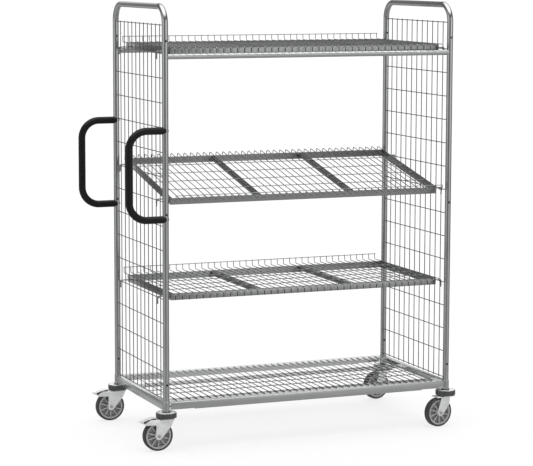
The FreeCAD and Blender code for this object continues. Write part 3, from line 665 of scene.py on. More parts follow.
FINISHES = {
    "tube": lambda: finish("zinc_tube", hue("tube_zinc"), 1.0, (0.12, 0.2), 0.08, 14.0, 700.0, 0.004,
                           marks=(260.0, 260.0, 9.0)),
    "bar": lambda: bar_finish("zinc_bar", hue("tube_zinc")),
    # Painted light: the bar finish made 1.4 times lighter, for the rear rail and the left end rail.
    "light_bar": lambda: bar_finish("zinc_light_bar", hue("tube_zinc", 1.4)),
    "shelf": lambda: bar_finish("zinc_shelf", hue("shelf_zinc")),
    "wire": lambda: wire_finish("zinc_wire", hue("wire_zinc")),
    "mesh": lambda: wire_finish("zinc_mesh", hue("mesh_zinc")),
    # Painted shade on the mat wires' turned-down ends.
    "wire_end": lambda: finish("dull_wire_end", hue("dull_zinc", 0.3), 0.3, (0.4, 0.5), 0.08, 30.0, 900.0,
                               0.004),
    # Dull zinc, darkened as painted shade on the cross tubes under the mats and along the pedals' sides.
    "dull": lambda: finish("dull_zinc", hue("dull_zinc"), 0.5, (0.36, 0.46), 0.08, 22.0, 800.0, 0.006),
    # Plated dish, near white and barely metallic: plating and a painted highlight.
    "dish": lambda: finish("dish_zinc", hue("dish_zinc"), 0.3, (0.22, 0.3), 0.06, 60.0, 900.0, 0.004),
    "pressed": lambda: finish("bright_zinc", hue("bright_zinc"), 0.4, (0.3, 0.42), 0.06, 45.0, 900.0, 0.006),
    "screw": lambda: finish("plated_screw", hue("screw_steel"), 1.0, (0.25, 0.38), 0.15, 120.0, 900.0, 0.004),
    "grip": lambda: moulded_finish("grip_plastic", hue("grip_black"), (0.3, 0.4), 0.25, 25.0, 1400.0, 0.012,
                                   specular=0.25),
    "bumper": lambda: moulded_finish("bumper_plastic", hue("bumper_grey"), (0.2, 0.28), 0.12, 40.0, 1200.0,
                                     0.01),
    "rim": lambda: moulded_finish("rim_plastic", hue("rim_grey"), (0.38, 0.5), 0.08, 50.0, 1200.0, 0.015),
    # Painted shade in the rims' recesses.
    "recess": lambda: moulded_finish("recess_plastic", hue("rim_web_painted_shade_grey"), (0.45, 0.55), 0.10, 50.0, 1200.0,
                                     0.015),
    "tyre": lambda: moulded_finish("tyre_rubber", hue("tyre_grey"), (0.42, 0.56), 0.2, 60.0, 1100.0, 0.02),
}


class TrolleyOperator:
    """Shared by the operators that model the trolley"""

    bl_options = {"REGISTER"}

    @property
    def sizes(self):
        return bpy.context.scene.trolley_sizes


class TROLLEY_OT_base_rails(TrolleyOperator, bpy.types.Operator):
    """Models the four angle rails of the base"""

    bl_idname = "trolley.base_rails"
    bl_label = "Base Rails"

    def angle(self, low, high, flange, along):
        """Rail in a node's box, with an upright outer leg and a level flange at its top."""
        leg = (0, 0, low.z - high.z)
        return folded_angle((low.x, low.y, high.z), leg, flange, along, self.sizes.sheet, self.sizes.fold, 6)

    def execute(self, context):
        edge = self.sizes.edge
        span = RAIL_HIGH - RAIL_LOW
        rail = self.angle(RAIL_LOW, RAIL_HIGH, (0, span.y, 0), (span.x, 0, 0))
        for x in (RAIL_LOW.x, RAIL_HIGH.x):
            cutter = block((x - RAIL_NOTCH, RAIL_LOW.y - 10 * MM, RAIL_LOW.z - 10 * MM),
                           (x + RAIL_NOTCH, RAIL_LOW.y + 20 * MM, RAIL_LOW.z + NOTCH_RISE))
            cut_with(rail, cutter)
        soften(rail, edge)
        # The rear rail takes the lighter copy of the bar finish as painted light.
        dress_pair(rail, about_middle(math.pi), ("front", "rear"), "base_rail", "rail", ("bar", "light_bar"),
                   "zinc_steel")
        span = END_RAIL_HIGH - END_RAIL_LOW
        end = self.angle(END_RAIL_LOW, END_RAIL_HIGH, (span.x, 0, 0), (0, span.y, 0))
        soften(end, edge)
        # The left end rail takes the lighter copy of the bar finish as painted light.
        dress_pair(end, about_middle(math.pi), ("left", "right"), "end_base_rail", "end_rail",
                   ("light_bar", "bar"), "zinc_steel")
        return {"FINISHED"}


class TROLLEY_OT_deck(TrolleyOperator, bpy.types.Operator):
    """Models the deck's lengthwise bar and its welded wires"""

    bl_idname = "trolley.deck"
    bl_label = "Deck"

    def execute(self, context):
        bar = block(BAR_LOW, BAR_HIGH, 0.9 * MM, 3)
        dress(bar, "deck_flat_bar", "frame", "bar", "zinc_steel", "deck_bar")
        wire = self.sizes.deck_wire
        cross_z = GRID_HIGH.z - wire / 2
        first = CENTRE_X - (DECK_COUNT - 1) / 2 * MAT_PITCH
        cross = straight_wire((first, GRID_LOW.y, cross_z), (first, GRID_HIGH.y, cross_z), wire)
        soften(cross, wire * 0.2, 2)
        repeat(cross, DECK_COUNT, (MAT_PITCH, 0, 0))
        long_z = GRID_LOW.z + wire / 2
        lines = []
        for y in DECK_LONG_WIRES:
            lines.append(straight_wire((GRID_LOW.x, y, long_z), (GRID_HIGH.x, y, long_z), wire))
        grid = joined([cross] + lines)
        dress(grid, "deck_wire_grid", "frame", "wire", "zinc_steel", "deck_wires", smooth=50)
        return {"FINISHED"}


class TROLLEY_OT_sockets(TrolleyOperator, bpy.types.Operator):
    """Models the corner sockets and the screws that hold the posts in them"""

    bl_idname = "trolley.sockets"
    bl_label = "Corner Sockets"

    def execute(self, context):
        inner = POST_R + FIT
        low, high = SOCKET_LOW.z, SOCKET_HIGH.z
        lip = 0.5 * MM
        profile = [(inner, low), (SOCKET_R - lip, low), (SOCKET_R, low + lip), (SOCKET_R, high - lip),
                   (SOCKET_R - lip, high), (inner, high)]
        model = turned(profile, "Z", TUBE_SIDES)
        head_low, head_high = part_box("socket_screws")
        head_r, rise = (head_high.z - head_low.z) / 2, 3 * MM
        dome = [(0.0, 0.0), (head_r, 0.0), (head_r, rise * 0.35), (head_r * 0.86, rise * 0.72),
                (head_r * 0.55, rise * 0.95), (head_r * 0.3, rise), (head_r * 0.26, rise * 0.6),
                (0.0, rise * 0.6)]
        middle = (head_low.z + head_high.z) / 2
        sockets, screws = [], []
        for x, inward in ((LEFT_X, 1), (RIGHT_X, -1)):
            profile = [(r, inward * h) for r, h in dome]
            for y in (FRONT_Y, REAR_Y):
                sockets.append(copied(model, moved(x, y)))
                seat = x + inward * (SOCKET_R + FIT)
                screws.append(turned(profile, "X", SCREW_SIDES, (seat, y, middle)))
        discard(model)
        dress(joined(sockets), "base_corner_sockets", "frame", "tube", "zinc_steel", "corner_sockets")
        dress(joined(screws), "base_socket_screws", "frame", "screw", "screw_steel", "socket_screws")
        return {"FINISHED"}


class TROLLEY_OT_end_tubes(TrolleyOperator, bpy.types.Operator):
    """Models the two bent end tubes with their punched holes"""

    bl_idname = "trolley.end_tubes"
    bl_label = "End Tubes"

    def execute(self, context):
        sizes = self.sizes
        x = LEFT_X
        route = [(x, FRONT_Y, POST_FOOT), (x, FRONT_Y, POST_TOP), (x, REAR_Y, POST_TOP),
                 (x, REAR_Y, POST_FOOT)]
        stops = []
        for y in (FRONT_Y, REAR_Y):
            for z in PUNCHED_HEIGHTS + GRIP_HEIGHTS:
                stops += [(x, y, z - 8 * MM), (x, y, z + 8 * MM)]
        tube = bent_tube(route, sizes.corner_bend, POST_R, TUBE_SIDES, BEND_STEPS, stops, capped=False)
        thicken(tube, sizes.post_wall)
        drills = []
        for y in (FRONT_Y, REAR_Y):
            for z in PUNCHED_HEIGHTS:
                drills.append(straight_wire((x, y - POST_D, z), (x, y + POST_D, z), sizes.punched_hole, 28))
            for z in GRIP_HEIGHTS:
                drills.append(straight_wire((x - POST_D, y, z), (x + POST_D, y, z), sizes.screw_hole,
                                            SCREW_SIDES))
        cut_with(tube, joined(drills))
        dress_pair(tube, about_middle(math.pi), ("left", "right"), "bent_tube", "end_tube", ("tube", "tube"),
                   "zinc_steel")
        return {"FINISHED"}


class TROLLEY_OT_end_meshes(TrolleyOperator, bpy.types.Operator):
    """Models the welded wire meshes in the two ends"""

    bl_idname = "trolley.end_meshes"
    bl_label = "End Meshes"

    def execute(self, context):
        wire = self.sizes.mesh_wire
        first = -(COLUMN_COUNT - 1) / 2 * COLUMN_PITCH
        upright = straight_wire((LEFT_X, first, MESH_LOW.z), (LEFT_X, first, MESH_HIGH.z), wire)
        repeat(upright, COLUMN_COUNT, (0, COLUMN_PITCH, 0))
        level_x = MESH_LOW.x + wire / 2
        levels = []
        for z in (MESH_LOW.z + wire, LOW_ROW, MESH_HIGH.z - wire):
            levels.append(straight_wire((level_x, MESH_LOW.y, z), (level_x, MESH_HIGH.y, z), wire))
        repeat(levels[1], ROW_COUNT, (0, 0, ROW_PITCH))
        mesh = joined([upright] + levels)
        dress_pair(mesh, about_middle(math.pi), ("left", "right"), "wire_mesh", "end_mesh", ("mesh", "mesh"),
                   "zinc_steel", smooth=50)
        return {"FINISHED"}


class TROLLEY_OT_top_tubes(TrolleyOperator, bpy.types.Operator):
    """Models the two lengthwise tubes under the top shelf, coped to the posts"""

    bl_idname = "trolley.top_tubes"
    bl_label = "Top Tubes"

    def execute(self, context):
        radius = (TOP_TUBE_HIGH.z - TOP_TUBE_LOW.z) / 2
        z = TOP_TUBE_LOW.z + radius
        near = 20 * MM
        stops = [(LEFT_X + near, FRONT_Y, z), (RIGHT_X - near, FRONT_Y, z)]
        tube = bent_tube([(LEFT_X, FRONT_Y, z), (RIGHT_X, FRONT_Y, z)], 0.0, radius, 36, stops=stops)
        posts = []
        for x in (LEFT_X, RIGHT_X):
            foot, head = (x, FRONT_Y, z - POST_D), (x, FRONT_Y, z + POST_D)
            posts.append(straight_wire(foot, head, POST_D + 2 * FIT, 48))
        cut_with(tube, joined(posts))
        dress_pair(tube, moved(0, REAR_Y - FRONT_Y), ("front", "rear"), "top_cross_tube", "top_tube",
                   ("tube", "tube"), "zinc_steel")
        return {"FINISHED"}


class TROLLEY_OT_handles(TrolleyOperator, bpy.types.Operator):
    """Models the two grip handles and the screws that hold them"""

    bl_idname = "trolley.handles"
    bl_label = "Handles"

    def execute(self, context):
        low, high = GRIP_HEIGHTS
        reach = GRIP_LOW.x + GRIP_R
        near = LEFT_X - POST_R - 9 * MM
        route = [(LEFT_X, FRONT_Y, high), (reach, FRONT_Y, high), (reach, FRONT_Y, low),
                 (LEFT_X, FRONT_Y, low)]
        stops = [(near, FRONT_Y, high), (near, FRONT_Y, low)]
        grip = bent_tube(route, self.sizes.handle_bend, GRIP_R, TUBE_SIDES, BEND_STEPS, stops)
        foot, head = (LEFT_X, FRONT_Y, low - POST_D), (LEFT_X, FRONT_Y, high + POST_D)
        cut_with(grip, straight_wire(foot, head, POST_D + 2 * FIT, 56))
        dress_pair(grip, moved(0, REAR_Y - FRONT_Y), ("front", "rear"), "grip_handle", "handle",
                   ("grip", "grip"), "black_grip")
        head_r = 5 * MM
        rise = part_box("handle_screws")[1].x - (LEFT_X + POST_R)
        dome = [(0.0, 0.0), (head_r, 0.0), (head_r, rise * 0.4), (head_r * 0.8, rise * 0.85),
                (head_r * 0.5, rise), (head_r * 0.3, rise), (head_r * 0.26, rise * 0.4), (0.0, rise * 0.4)]
        heads = []
        for y in (FRONT_Y, REAR_Y):
            for z in GRIP_HEIGHTS:
                heads.append(turned(dome, "X", SCREW_SIDES, (LEFT_X + POST_R, y, z)))
        dress(joined(heads), "handle_fixing_screws", "frame", "screw", "screw_steel", "handle_screws")
        return {"FINISHED"}


class TROLLEY_OT_shelves(TrolleyOperator, bpy.types.Operator):
    """Models one shelf and copies it to the three places, the middle one tilted and turned round"""

    bl_idname = "trolley.shelves"
    bl_label = "Shelves"

    def bars(self):
        """Frame of four folded angle bars."""
        sheet, fold, edge = self.sizes.sheet, self.sizes.fold * 0.8, self.sizes.edge
        half, deep, low = SHELF_HALF, SHELF_DEPTH, SHELF_BAR_LOW
        tall = MAT_Z - self.sizes.mat_wire / 2 - FIT - low
        front = folded_angle((-half, -deep, low), (0, 0, tall), (0, SHELF_FLANGE, 0), (2 * half, 0, 0),
                             sheet, fold, 5)
        soften(front, edge)
        back = copied(front, Matrix.Rotation(math.pi, 4, "Z"))
        reach = deep - sheet
        left = folded_angle((-half, -reach, low), (0, 0, SIDE_BAR_HIGH - low), (SHELF_FLANGE, 0, 0),
                            (0, 2 * reach, 0), sheet, fold, 5)
        soften(left, edge)
        right = copied(left, Matrix.Rotation(math.pi, 4, "Z"))
        return joined([front, back, left, right])

    def cross_tubes(self):
        """Two front-to-back tubes under the mat."""
        half, top = self.sizes.cross_width / 2, SHELF_BAR_HIGH
        low, reach = SHELF_BAR_HIGH - self.sizes.cross_depth, SHELF_DEPTH - self.sizes.sheet
        pieces = []
        for middle in (-CROSS_PLACE, CROSS_PLACE):
            x0, x1 = middle - half, middle + half
            corners = [(x0, -reach, low), (x1, -reach, low), (x1, -reach, top), (x0, -reach, top)]
            pieces.append(plate(corners, (0, 2 * reach, 0), [(corner, 2 * MM, 3) for corner in corners]))
        return joined(pieces)

    def mat(self):
        """Front-to-back wires turned up at the lip and down at the other edge, and the wires along them."""
        wire, bend = self.sizes.mat_wire, self.sizes.mat_bend
        first = -(MAT_COUNT - 1) / 2 * MAT_PITCH
        route = [(first, LIP_EDGE, LIP_TOP), (first, LIP_EDGE, MAT_Z), (first, -TURN_EDGE, MAT_Z),
                 (first, -TURN_EDGE, TURN_END)]
        cross = bent_tube(route, bend, wire / 2, 8, 4)
        repeat(cross, MAT_COUNT, (MAT_PITCH, 0, 0))
        lines = []
        end = SHELF_HALF - self.sizes.sheet - FIT
        for y in MAT_LONG_WIRES:
            lines.append(straight_wire((-end, y, LONG_WIRE_Z), (end, y, LONG_WIRE_Z), wire))
        rail_y = LIP_EDGE - wire - FIT
        rail_x = -first + wire / 2
        lines.append(straight_wire((-rail_x, rail_y, LIP_RAIL_Z), (rail_x, rail_y, LIP_RAIL_Z), wire))
        return joined([cross] + lines)

    def hooks(self):
        """Four bent hooks, from the end bars over a mesh wire."""
        wire = self.sizes.hook_wire
        rest = self.sizes.mesh_wire / 2 + 0.5 * MM + wire / 2
        tip = HALF_SPAN + self.sizes.mesh_wire + FIT + rest
        pieces = []
        for sign in (-1, 1):
            for y in (-HOOK_SPACING / 2, HOOK_SPACING / 2):
                route = [(sign * SHELF_HALF, y, rest), (sign * tip, y, rest), (sign * tip, y, HOOK_TAIL)]
                hook = bent_tube(route, rest, wire / 2, 16, 8)
                soften(hook, 0.8 * MM, 2)
                pieces.append(hook)
        return joined(pieces)

    def execute(self, context):
        models = {
            "frame": (self.bars(), "shelf", 35, ("frame",)),
            # The cross tubes take the dark finish as painted shade under the mat.
            "cross_tubes": (self.cross_tubes(), "dull", 35, ()),
            "mat": (self.mat(), "wire", 50, ("wires", "lip")),
            "hooks": (self.hooks(), "wire", 40, ("hooks",)),
        }
        tilt = math.asin(ROW_PITCH / HOOK_SPACING)
        sloped = Matrix.Rotation(tilt, 4, "X") @ Matrix.Rotation(math.pi, 4, "Z")
        for shelf, z in SHELF_HEIGHTS.items():
            turn = sloped if shelf == "tilted_shelf" else Matrix.Identity(4)
            place = moved(CENTRE_X, 0, z) @ turn
            for kind, (model, look, smooth, parts) in models.items():
                nodes = ["%s_%s" % (shelf, part) for part in parts]
                piece = dress(copied(model, place), "%s_%s_piece" % (shelf, kind), shelf, look, "zinc_steel",
                              *nodes, smooth=smooth)
                if kind == "mat":
                    # The turned-down ends get a near-black finish as painted shade.
                    dress_faces(piece, "wire_end", place,
                                lambda co: co.y < MAT_TURN - TURN_EDGE and co.z < MAT_Z - MAT_TURN)
        discard(*[model for model, *rest in models.values()])
        return {"FINISHED"}


class TROLLEY_OT_bumpers(TrolleyOperator, bpy.types.Operator):
    """Models the buffer discs and swivel races of the casters"""

    bl_idname = "trolley.bumpers"
    bl_label = "Bumpers"

    def execute(self, context):
        low, high = BUMPER_LOW.z, BUMPER_HIGH.z
        step, skirt, dish = low + 17 * MM, low - 5 * MM, low + 16.6 * MM
        r, under, over, hub, bore = BUMPER_R, 3 * MM, 4 * MM, 18 * MM, 6.05 * MM
        profile = [(bore, low), (RACE_R + 1.5 * MM, low), (RACE_R + 1.5 * MM, skirt), (r - under, skirt)]
        profile += arc((r - under, skirt + under), under, -90, 0, 5)[1:]
        profile += arc((r - over, step - over), over, 0, 90, 6)
        profile += [(r - 5 * MM, step), (r - 5.5 * MM, dish), (hub + 1 * MM, dish),
                    (hub, step), (hub, high - 0.6 * MM), (hub - 0.6 * MM, high), (bore, high)]
        disc = turned(profile, "Z", 56)
        z0, z1 = RACE_LOW.z, RACE_HIGH.z
        mid = (z0 + z1) / 2
        groove, gap = RACE_R - 3 * MM, 0.8 * MM
        ring = [(bore, z0), (RACE_R - 1.5 * MM, z0), (RACE_R, z0 + 1.5 * MM), (RACE_R, mid - gap),
                (groove, mid - gap), (groove, mid + gap), (RACE_R, mid + gap), (RACE_R, z1 - 0.6 * MM),
                (RACE_R - 0.6 * MM, z1), (bore, z1)]
        race = turned(ring, "Z", 48)
        for corner, (x, y, _) in CORNERS.items():
            place = moved(x, y)
            buffer = dress(copied(disc, place), corner + "_buffer_disc", "frame", "bumper", "grey_plastic",
                           corner + "_bumper")
            # The dish's near-white finish paints the highlight on the disc's top.
            dress_faces(buffer, "dish", place, lambda co: abs(co.z - dish) < 0.1 * MM)
            dress(copied(race, place), corner + "_swivel_race", "frame", "screw", "zinc_steel",
                  corner + "_race")
            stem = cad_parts[corner + "_stem"]
            stem.data.materials.clear()
            stem.data.materials.append(FINISHES["screw"]())
        discard(disc, race)
        return {"FINISHED"}


class TROLLEY_OT_forks(TrolleyOperator, bpy.types.Operator):
    """Models the caster forks, plain ones and ones with cheeks for a brake, and the axle bolts"""

    bl_idname = "trolley.forks"
    bl_label = "Forks"

    def fork(self, braked):
        """Folded U of sheet, cut to the side outline."""
        sheet, fold = self.sizes.sheet, self.sizes.fold
        half, top, under = FORK_HALF, FORK_TOP, FORK_TOP - 4 * MM
        inner = half - sheet
        back, front = (-102 * MM, 28 * MM) if braked else (-55 * MM, 35 * MM)
        low = WHEEL_R - 16 * MM
        section = [(back, -half, low), (back, -half, top), (back, half, top), (back, half, low),
                   (back, inner, low), (back, inner, under), (back, -inner, under), (back, -inner, low)]
        rounds = [(section[1], fold, 5), (section[2], fold, 5), (section[5], 1.5 * MM, 3),
                  (section[6], 1.5 * MM, 3)]
        body = plate(section, (front - back, 0, 0), rounds)
        end_r, over, ledge = 14 * MM, top + 20 * MM, under - 0.5 * MM
        side = [(front, over)]
        if braked:
            side += [(front, top - 1 * MM), (15 * MM, 103 * MM)]
            side += arc((-TRAIL, WHEEL_R), end_r, -40, -184, 14)
            side += arc((-56 * MM, 104 * MM), 6 * MM, 0, 90, 6)
            side += [(-90 * MM, 111 * MM), (-98 * MM, 112 * MM), (-101 * MM, 113 * MM),
                     (-101.5 * MM, 115.5 * MM), (-93 * MM, 121.5 * MM), (-84 * MM, 127.5 * MM),
                     (-75 * MM, 131 * MM), (-66 * MM, 133.5 * MM), (-58 * MM, 133.5 * MM), (-51 * MM, top),
                     (-51 * MM, over)]
        else:
            side += [(front, ledge), (8 * MM, ledge), (6 * MM, 97 * MM)]
            side += arc((-TRAIL, WHEEL_R), end_r, -37, -196, 14)
            side += [(-34 * MM, ledge), (back, ledge), (back, over)]
        wide = half + 10 * MM
        cut_with(body, plate([(x, -wide, z) for x, z in side], (0, 2 * wide, 0)), "INTERSECT")
        if braked:
            cut_with(body, block((back - 10 * MM, -inner, 0.0), (-48 * MM, inner, over)))
        soften(body, 0.7 * MM, 2)
        return body

    def axle(self):
        """Bolt with a six-sided head and a nut."""
        head_r, tall = 6.5 * MM, 5 * MM
        seat = FORK_HALF + FIT
        pieces = [straight_wire((-TRAIL, -seat, WHEEL_R), (-TRAIL, seat + tall, WHEEL_R), 8 * MM, 24)]
        for start, end in ((-seat, -seat - tall), (seat, seat + tall * 0.85)):
            pieces.append(straight_wire((-TRAIL, start, WHEEL_R), (-TRAIL, end, WHEEL_R), 2 * head_r, 6))
        for piece in pieces:
            soften(piece, 0.6 * MM, 2, 25)
        return joined(pieces)

    def execute(self, context):
        models = {True: self.fork(True), False: self.fork(False)}
        axle = self.axle()
        for corner in CORNERS:
            place = caster_place(corner)
            body = corner + "_caster"
            fork = copied(models[corner.startswith("left")], place)
            dress(fork, corner + "_folded_fork", body, "pressed", "zinc_steel", corner + "_fork")
            dress(copied(axle, place), corner + "_axle_bolt", body, "screw", "screw_steel", corner + "_axle",
                  smooth=25)
        discard(models[True], models[False], axle)
        return {"FINISHED"}


class TROLLEY_OT_wheels(TrolleyOperator, bpy.types.Operator):
    """Models a ribbed rim and a solid tyre and copies them to the four casters"""

    bl_idname = "trolley.wheels"
    bl_label = "Wheels"

    def tyre(self):
        inner, outer, half = WHEEL_R - RIM_STEP + FIT, WHEEL_R, TYRE_HALF
        soft = self.sizes.shoulder
        side = half - 0.5 * MM
        profile = [(inner, -side), (inner + 0.5 * MM, -half)]
        profile += arc((outer - soft, soft - half), soft, -90, 0, 6)
        profile += arc((outer - soft, half - soft), soft, 0, 90, 6)
        profile += [(inner + 0.5 * MM, half), (inner, side)]
        return turned(profile, "Y", WHEEL_STEPS)

    def rim(self):
        outer, ring = WHEEL_R - RIM_STEP, WHEEL_R - 2 * RIM_STEP
        hub, bore = RIM_HUB, 4.05 * MM
        hub_half, web, wide = 19.4 * MM, RIM_WEB, 13.5 * MM
        soft = 0.8 * MM
        half = [(web, hub + 2 * MM), (web, ring - 2 * MM), (web + 2 * MM, ring),
                (wide - soft, ring + 0.5 * MM), (wide, ring + soft + 0.5 * MM), (wide, outer - soft),
                (wide - soft, outer)]
        profile = [(bore, -hub_half), (bore, hub_half), (hub - soft, hub_half), (hub, hub_half - soft),
                   (hub, web + 2 * MM)]
        profile += [(r, h) for h, r in half]
        profile += [(r, -h) for h, r in reversed(half)]
        profile += [(hub, -web - 2 * MM), (hub, -hub_half + soft), (hub - soft, -hub_half)]
        body = turned(profile, "Y", WHEEL_STEPS)
        thick, tip = 1.8 * MM, 12.5 * MM
        ribs = []
        for side in (-1, 1):
            root = side * 2 * MM
            outline = [(-thick * 1.5, root, hub - 2 * MM), (thick * 1.5, root, hub - 2 * MM),
                       (thick * 1.1, root, ring + 1.5 * MM), (-thick * 1.1, root, ring + 1.5 * MM)]
            rib = plate(outline, (0, side * (tip - 2 * MM), 0))
            soften(rib, 0.7 * MM, 2)
            edit_all(rib)
            bpy.ops.mesh.spin(steps=self.sizes.rib_count, angle=2 * math.pi, dupli=True, center=(0, 0, 0),
                              axis=(0, 1, 0))
            tidy_shell()
            ribs.append(leave_edit())
        return joined([body] + ribs)

    def in_recess(self, co):
        """Whether a place on the rim lies on the web between hub and ring, which gets the painted shade."""
        radius = math.hypot(co.x, co.z)
        return abs(co.y) < RIM_WEB + 2 * MM and RIM_HUB < radius < WHEEL_R - 2 * RIM_STEP

    def execute(self, context):
        models = {"rim": self.rim(), "tyre": self.tyre()}
        slots = {"rim": "grey_plastic", "tyre": "grey_rubber"}
        names = {"rim": "ribbed_rim", "tyre": "solid_tyre"}
        for corner in CORNERS:
            place = caster_place(corner) @ moved(-TRAIL, 0, WHEEL_R)
            for kind, model in models.items():
                piece = dress(copied(model, place), "%s_%s" % (corner, names[kind]), corner + "_wheel", kind,
                              slots[kind], "%s_%s" % (corner, kind))
                if kind == "rim":
                    # The web between the ribs gets the darker finish as painted shade.
                    dress_faces(piece, "recess", place, self.in_recess)
        discard(*models.values())
        return {"FINISHED"}


class TROLLEY_OT_brakes(TrolleyOperator, bpy.types.Operator):
    """Models the pressed brake pedals of the casters under the handles"""

    bl_idname = "trolley.brakes"
    bl_label = "Brake Pedals"

    def pedal(self):
        """Pressed channel on a cross pin, with a bare tread that slopes down to a narrow tongue."""
        half, tongue, sheet = PEDAL_HALF, 9 * MM, 2.2 * MM
        heel, neck, tip = -50 * MM, -104 * MM, -117 * MM
        pivot_x, pivot_z = -66 * MM, 129 * MM
        top = [(heel, 138 * MM), (-66 * MM, 137 * MM), (-80 * MM, 133.5 * MM), (-96 * MM, 129.5 * MM),
               (-110 * MM, 126.5 * MM), (tip, 125 * MM)]
        under = [(tip, 122 * MM), (neck - 3 * MM, 123.2 * MM), (neck - 1 * MM, 117.5 * MM),
                 (-92 * MM, 118.5 * MM), (-76 * MM, 122 * MM), (pivot_x, 123 * MM), (-52 * MM, 127 * MM)]
        outline = [(x, -half, z) for x, z in top + under]
        shell = plate(outline, (0, 2 * half, 0))
        side = -half + sheet
        low, tall = 100 * MM, 50 * MM
        hollow = [(-54 * MM, side, low)] + [(x, side, z - sheet) for x, z in top[1:4]]
        hollow += [(neck + sheet, side, 125.5 * MM), (neck + sheet, side, low)]
        cut_with(shell, plate(hollow, (0, 2 * (half - sheet), 0)))
        plan = [(tip, -tongue), (neck, -half), (heel, -half), (heel, half), (neck, half), (tip, tongue)]
        corners = [(x, y, low) for x, y in plan]
        rounds = [(corners[0], 5 * MM, 5), (corners[1], 6 * MM, 5), (corners[4], 6 * MM, 5),
                  (corners[5], 5 * MM, 5)]
        cut_with(shell, plate(corners, (0, 0, tall), rounds), "INTERSECT")
        soften(shell, 0.8 * MM, 3, 30)
        pin = straight_wire((pivot_x, -FORK_HALF, pivot_z), (pivot_x, FORK_HALF, pivot_z), 6 * MM,
                            SCREW_SIDES)
        soften(pin, 0.8 * MM, 2)
        return joined([shell, pin])

    def execute(self, context):
        model = self.pedal()
        for corner in ("left_front", "left_rear"):
            place = caster_place(corner)
            pedal = dress(copied(model, place), corner + "_pressed_pedal", corner + "_brake", "pressed",
                          "pedal_zinc", corner + "_brake_pedal")
            # The strip along each pedal side is painted dark as the shadow under the fork's hood.
            dress_faces(pedal, "dull", place, lambda co: -0.5 * MM < abs(co.y) - PEDAL_HALF < 0.1 * MM)
        discard(model)
        return {"FINISHED"}


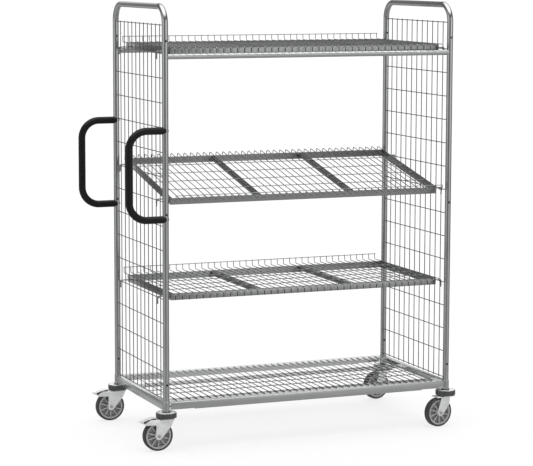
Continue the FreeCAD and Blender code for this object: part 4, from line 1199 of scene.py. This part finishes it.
class TROLLEY_OT_stage(TrolleyOperator, bpy.types.Operator):
    """Builds the floor, the light and the camera"""

    bl_idname = "trolley.stage"
    bl_label = "Stage"

    def floor(self):
        clear_selection()
        bpy.ops.mesh.primitive_plane_add(size=FLOOR_SIZE)
        edit_all(bpy.context.object)
        bpy.ops.mesh.subdivide(number_cuts=4)
        floor = leave_edit()
        floor.name = "studio_floor"
        material = moulded_finish("studio_floor", hue("floor_white"), (0.75, 0.85), 0.004, 0.4, 60.0, 0.0,
                                  specular=0.1)
        shader = material.node_tree.nodes["Principled BSDF"]
        shader.inputs["Emission Color"].default_value = (1, 1, 1, 1)
        shader.inputs["Emission Strength"].default_value = bpy.context.scene.trolley_stage.floor_glow
        floor.data.materials.append(material)
        floor.visible_glossy = False

    def light(self):
        """Bright ceiling, dark and pale panels round the horizon, and white where the camera sees the sky."""
        stage = bpy.context.scene.trolley_stage
        world = bpy.data.worlds.new("studio")
        bpy.context.scene.world = world
        world.use_nodes = True
        tree = world.node_tree
        back = tree.nodes["Background"]
        back.inputs["Color"].default_value = (1, 1, 1, 1)
        parts = tree.nodes.new("ShaderNodeSeparateXYZ")
        tree.links.new(tree.nodes.new("ShaderNodeTexCoord").outputs["Generated"], parts.inputs["Vector"])
        x, y, level = parts.outputs["X"], parts.outputs["Y"], parts.outputs["Z"]
        rays = tree.nodes.new("ShaderNodeLightPath")
        wave = joined_math(tree, "MULTIPLY_ADD", joined_math(tree, "ARCTAN2", y, x), stage.panel_count,
                           stage.panel_turn)
        shades = (stage.panel_dark, stage.panel_pale)
        panels = ranged(tree, joined_math(tree, "SINE", wave), PANEL_EDGE, shades)
        eye_level = ranged(tree, level, EYE_BAND, (1.0, stage.horizon))
        panels = joined_math(tree, "MULTIPLY", panels, eye_level)

        across = joined_math(tree, "MULTIPLY", x, math.sin(stage.yaw))
        ahead = joined_math(tree, "MULTIPLY_ADD", y, math.cos(stage.yaw), across)
        near = joined_math(tree, "MULTIPLY_ADD", y, -math.cos(stage.yaw), across)
        near = ranged(tree, near, NEAR_EDGE, FADE)
        glow = joined_math(tree, "MULTIPLY", near, ranged(tree, level, GLOW_BAND, FADE))
        panels = mixed(tree, glow, panels, stage.far_side)
        sides = mixed(tree, ranged(tree, ahead, FAR_EDGE, FADE), panels, stage.far_side)

        walls = mixed(tree, ranged(tree, level, DIM_BAND, FADE), sides, stage.wall_top)
        ceiling = mixed(tree, rays.outputs["Is Glossy Ray"], stage.ceiling, stage.mirrored_ceiling)
        upper = mixed(tree, ranged(tree, level, CEILING_BAND, FADE), walls, ceiling)
        around = mixed(tree, ranged(tree, level, BELOW_BAND, FADE), upper, stage.below)
        seen = mixed(tree, rays.outputs["Is Camera Ray"], around, 1.0)
        tree.links.new(seen, back.inputs["Strength"])

    def camera(self):
        stage = bpy.context.scene.trolley_stage
        clear_selection()
        bpy.ops.object.camera_add()
        camera = bpy.context.object
        camera.name = "photo_camera"
        camera.data.sensor_width = SENSOR_MM
        camera.data.lens = stage.lens
        camera.data.clip_end = 1000.0
        turn = Matrix.Rotation(-stage.yaw, 4, "Z") @ Matrix.Rotation(math.pi / 2 - stage.pitch, 4, "X")
        camera.matrix_world = moved(*stage.place) @ turn @ Matrix.Rotation(stage.roll, 4, "Z")
        bpy.context.scene.camera = camera

    def execute(self, context):
        self.floor()
        self.light()
        self.camera()
        context.scene.view_settings.view_transform = "Standard"
        return {"FINISHED"}


class TROLLEY_PT_panel(bpy.types.Panel):
    """Sizes, colours and steps of the trolley"""

    bl_idname = "TROLLEY_PT_panel"
    bl_label = "Order Picking Trolley"
    bl_space_type = "VIEW_3D"
    bl_region_type = "UI"
    bl_category = "Trolley"

    def draw(self, context):
        layout = self.layout
        for step in STEPS:
            layout.operator(step.bl_idname)
        for group in ("trolley_sizes", "trolley_colours", "trolley_stage"):
            settings = getattr(context.scene, group)
            for name in settings.__annotations__:
                layout.prop(settings, name)


STEPS = (TROLLEY_OT_base_rails, TROLLEY_OT_deck, TROLLEY_OT_sockets, TROLLEY_OT_end_tubes,
         TROLLEY_OT_end_meshes, TROLLEY_OT_top_tubes, TROLLEY_OT_handles, TROLLEY_OT_shelves,
         TROLLEY_OT_bumpers, TROLLEY_OT_forks, TROLLEY_OT_wheels, TROLLEY_OT_brakes, TROLLEY_OT_stage)
SETTINGS = {"trolley_sizes": TrolleySizes, "trolley_colours": TrolleyColours, "trolley_stage": TrolleyStage}


def register():
    for kind in (*SETTINGS.values(), *STEPS, TROLLEY_PT_panel):
        bpy.utils.register_class(kind)
    for name, kind in SETTINGS.items():
        setattr(bpy.types.Scene, name, PointerProperty(type=kind))


def unregister():
    for name in SETTINGS:
        delattr(bpy.types.Scene, name)
    for kind in reversed((*SETTINGS.values(), *STEPS, TROLLEY_PT_panel)):
        bpy.utils.unregister_class(kind)


def main():
    register()
    for step in STEPS:
        family, action = step.bl_idname.split(".")
        getattr(getattr(bpy.ops, family), action)()


if __name__ == "__main__":
    main()
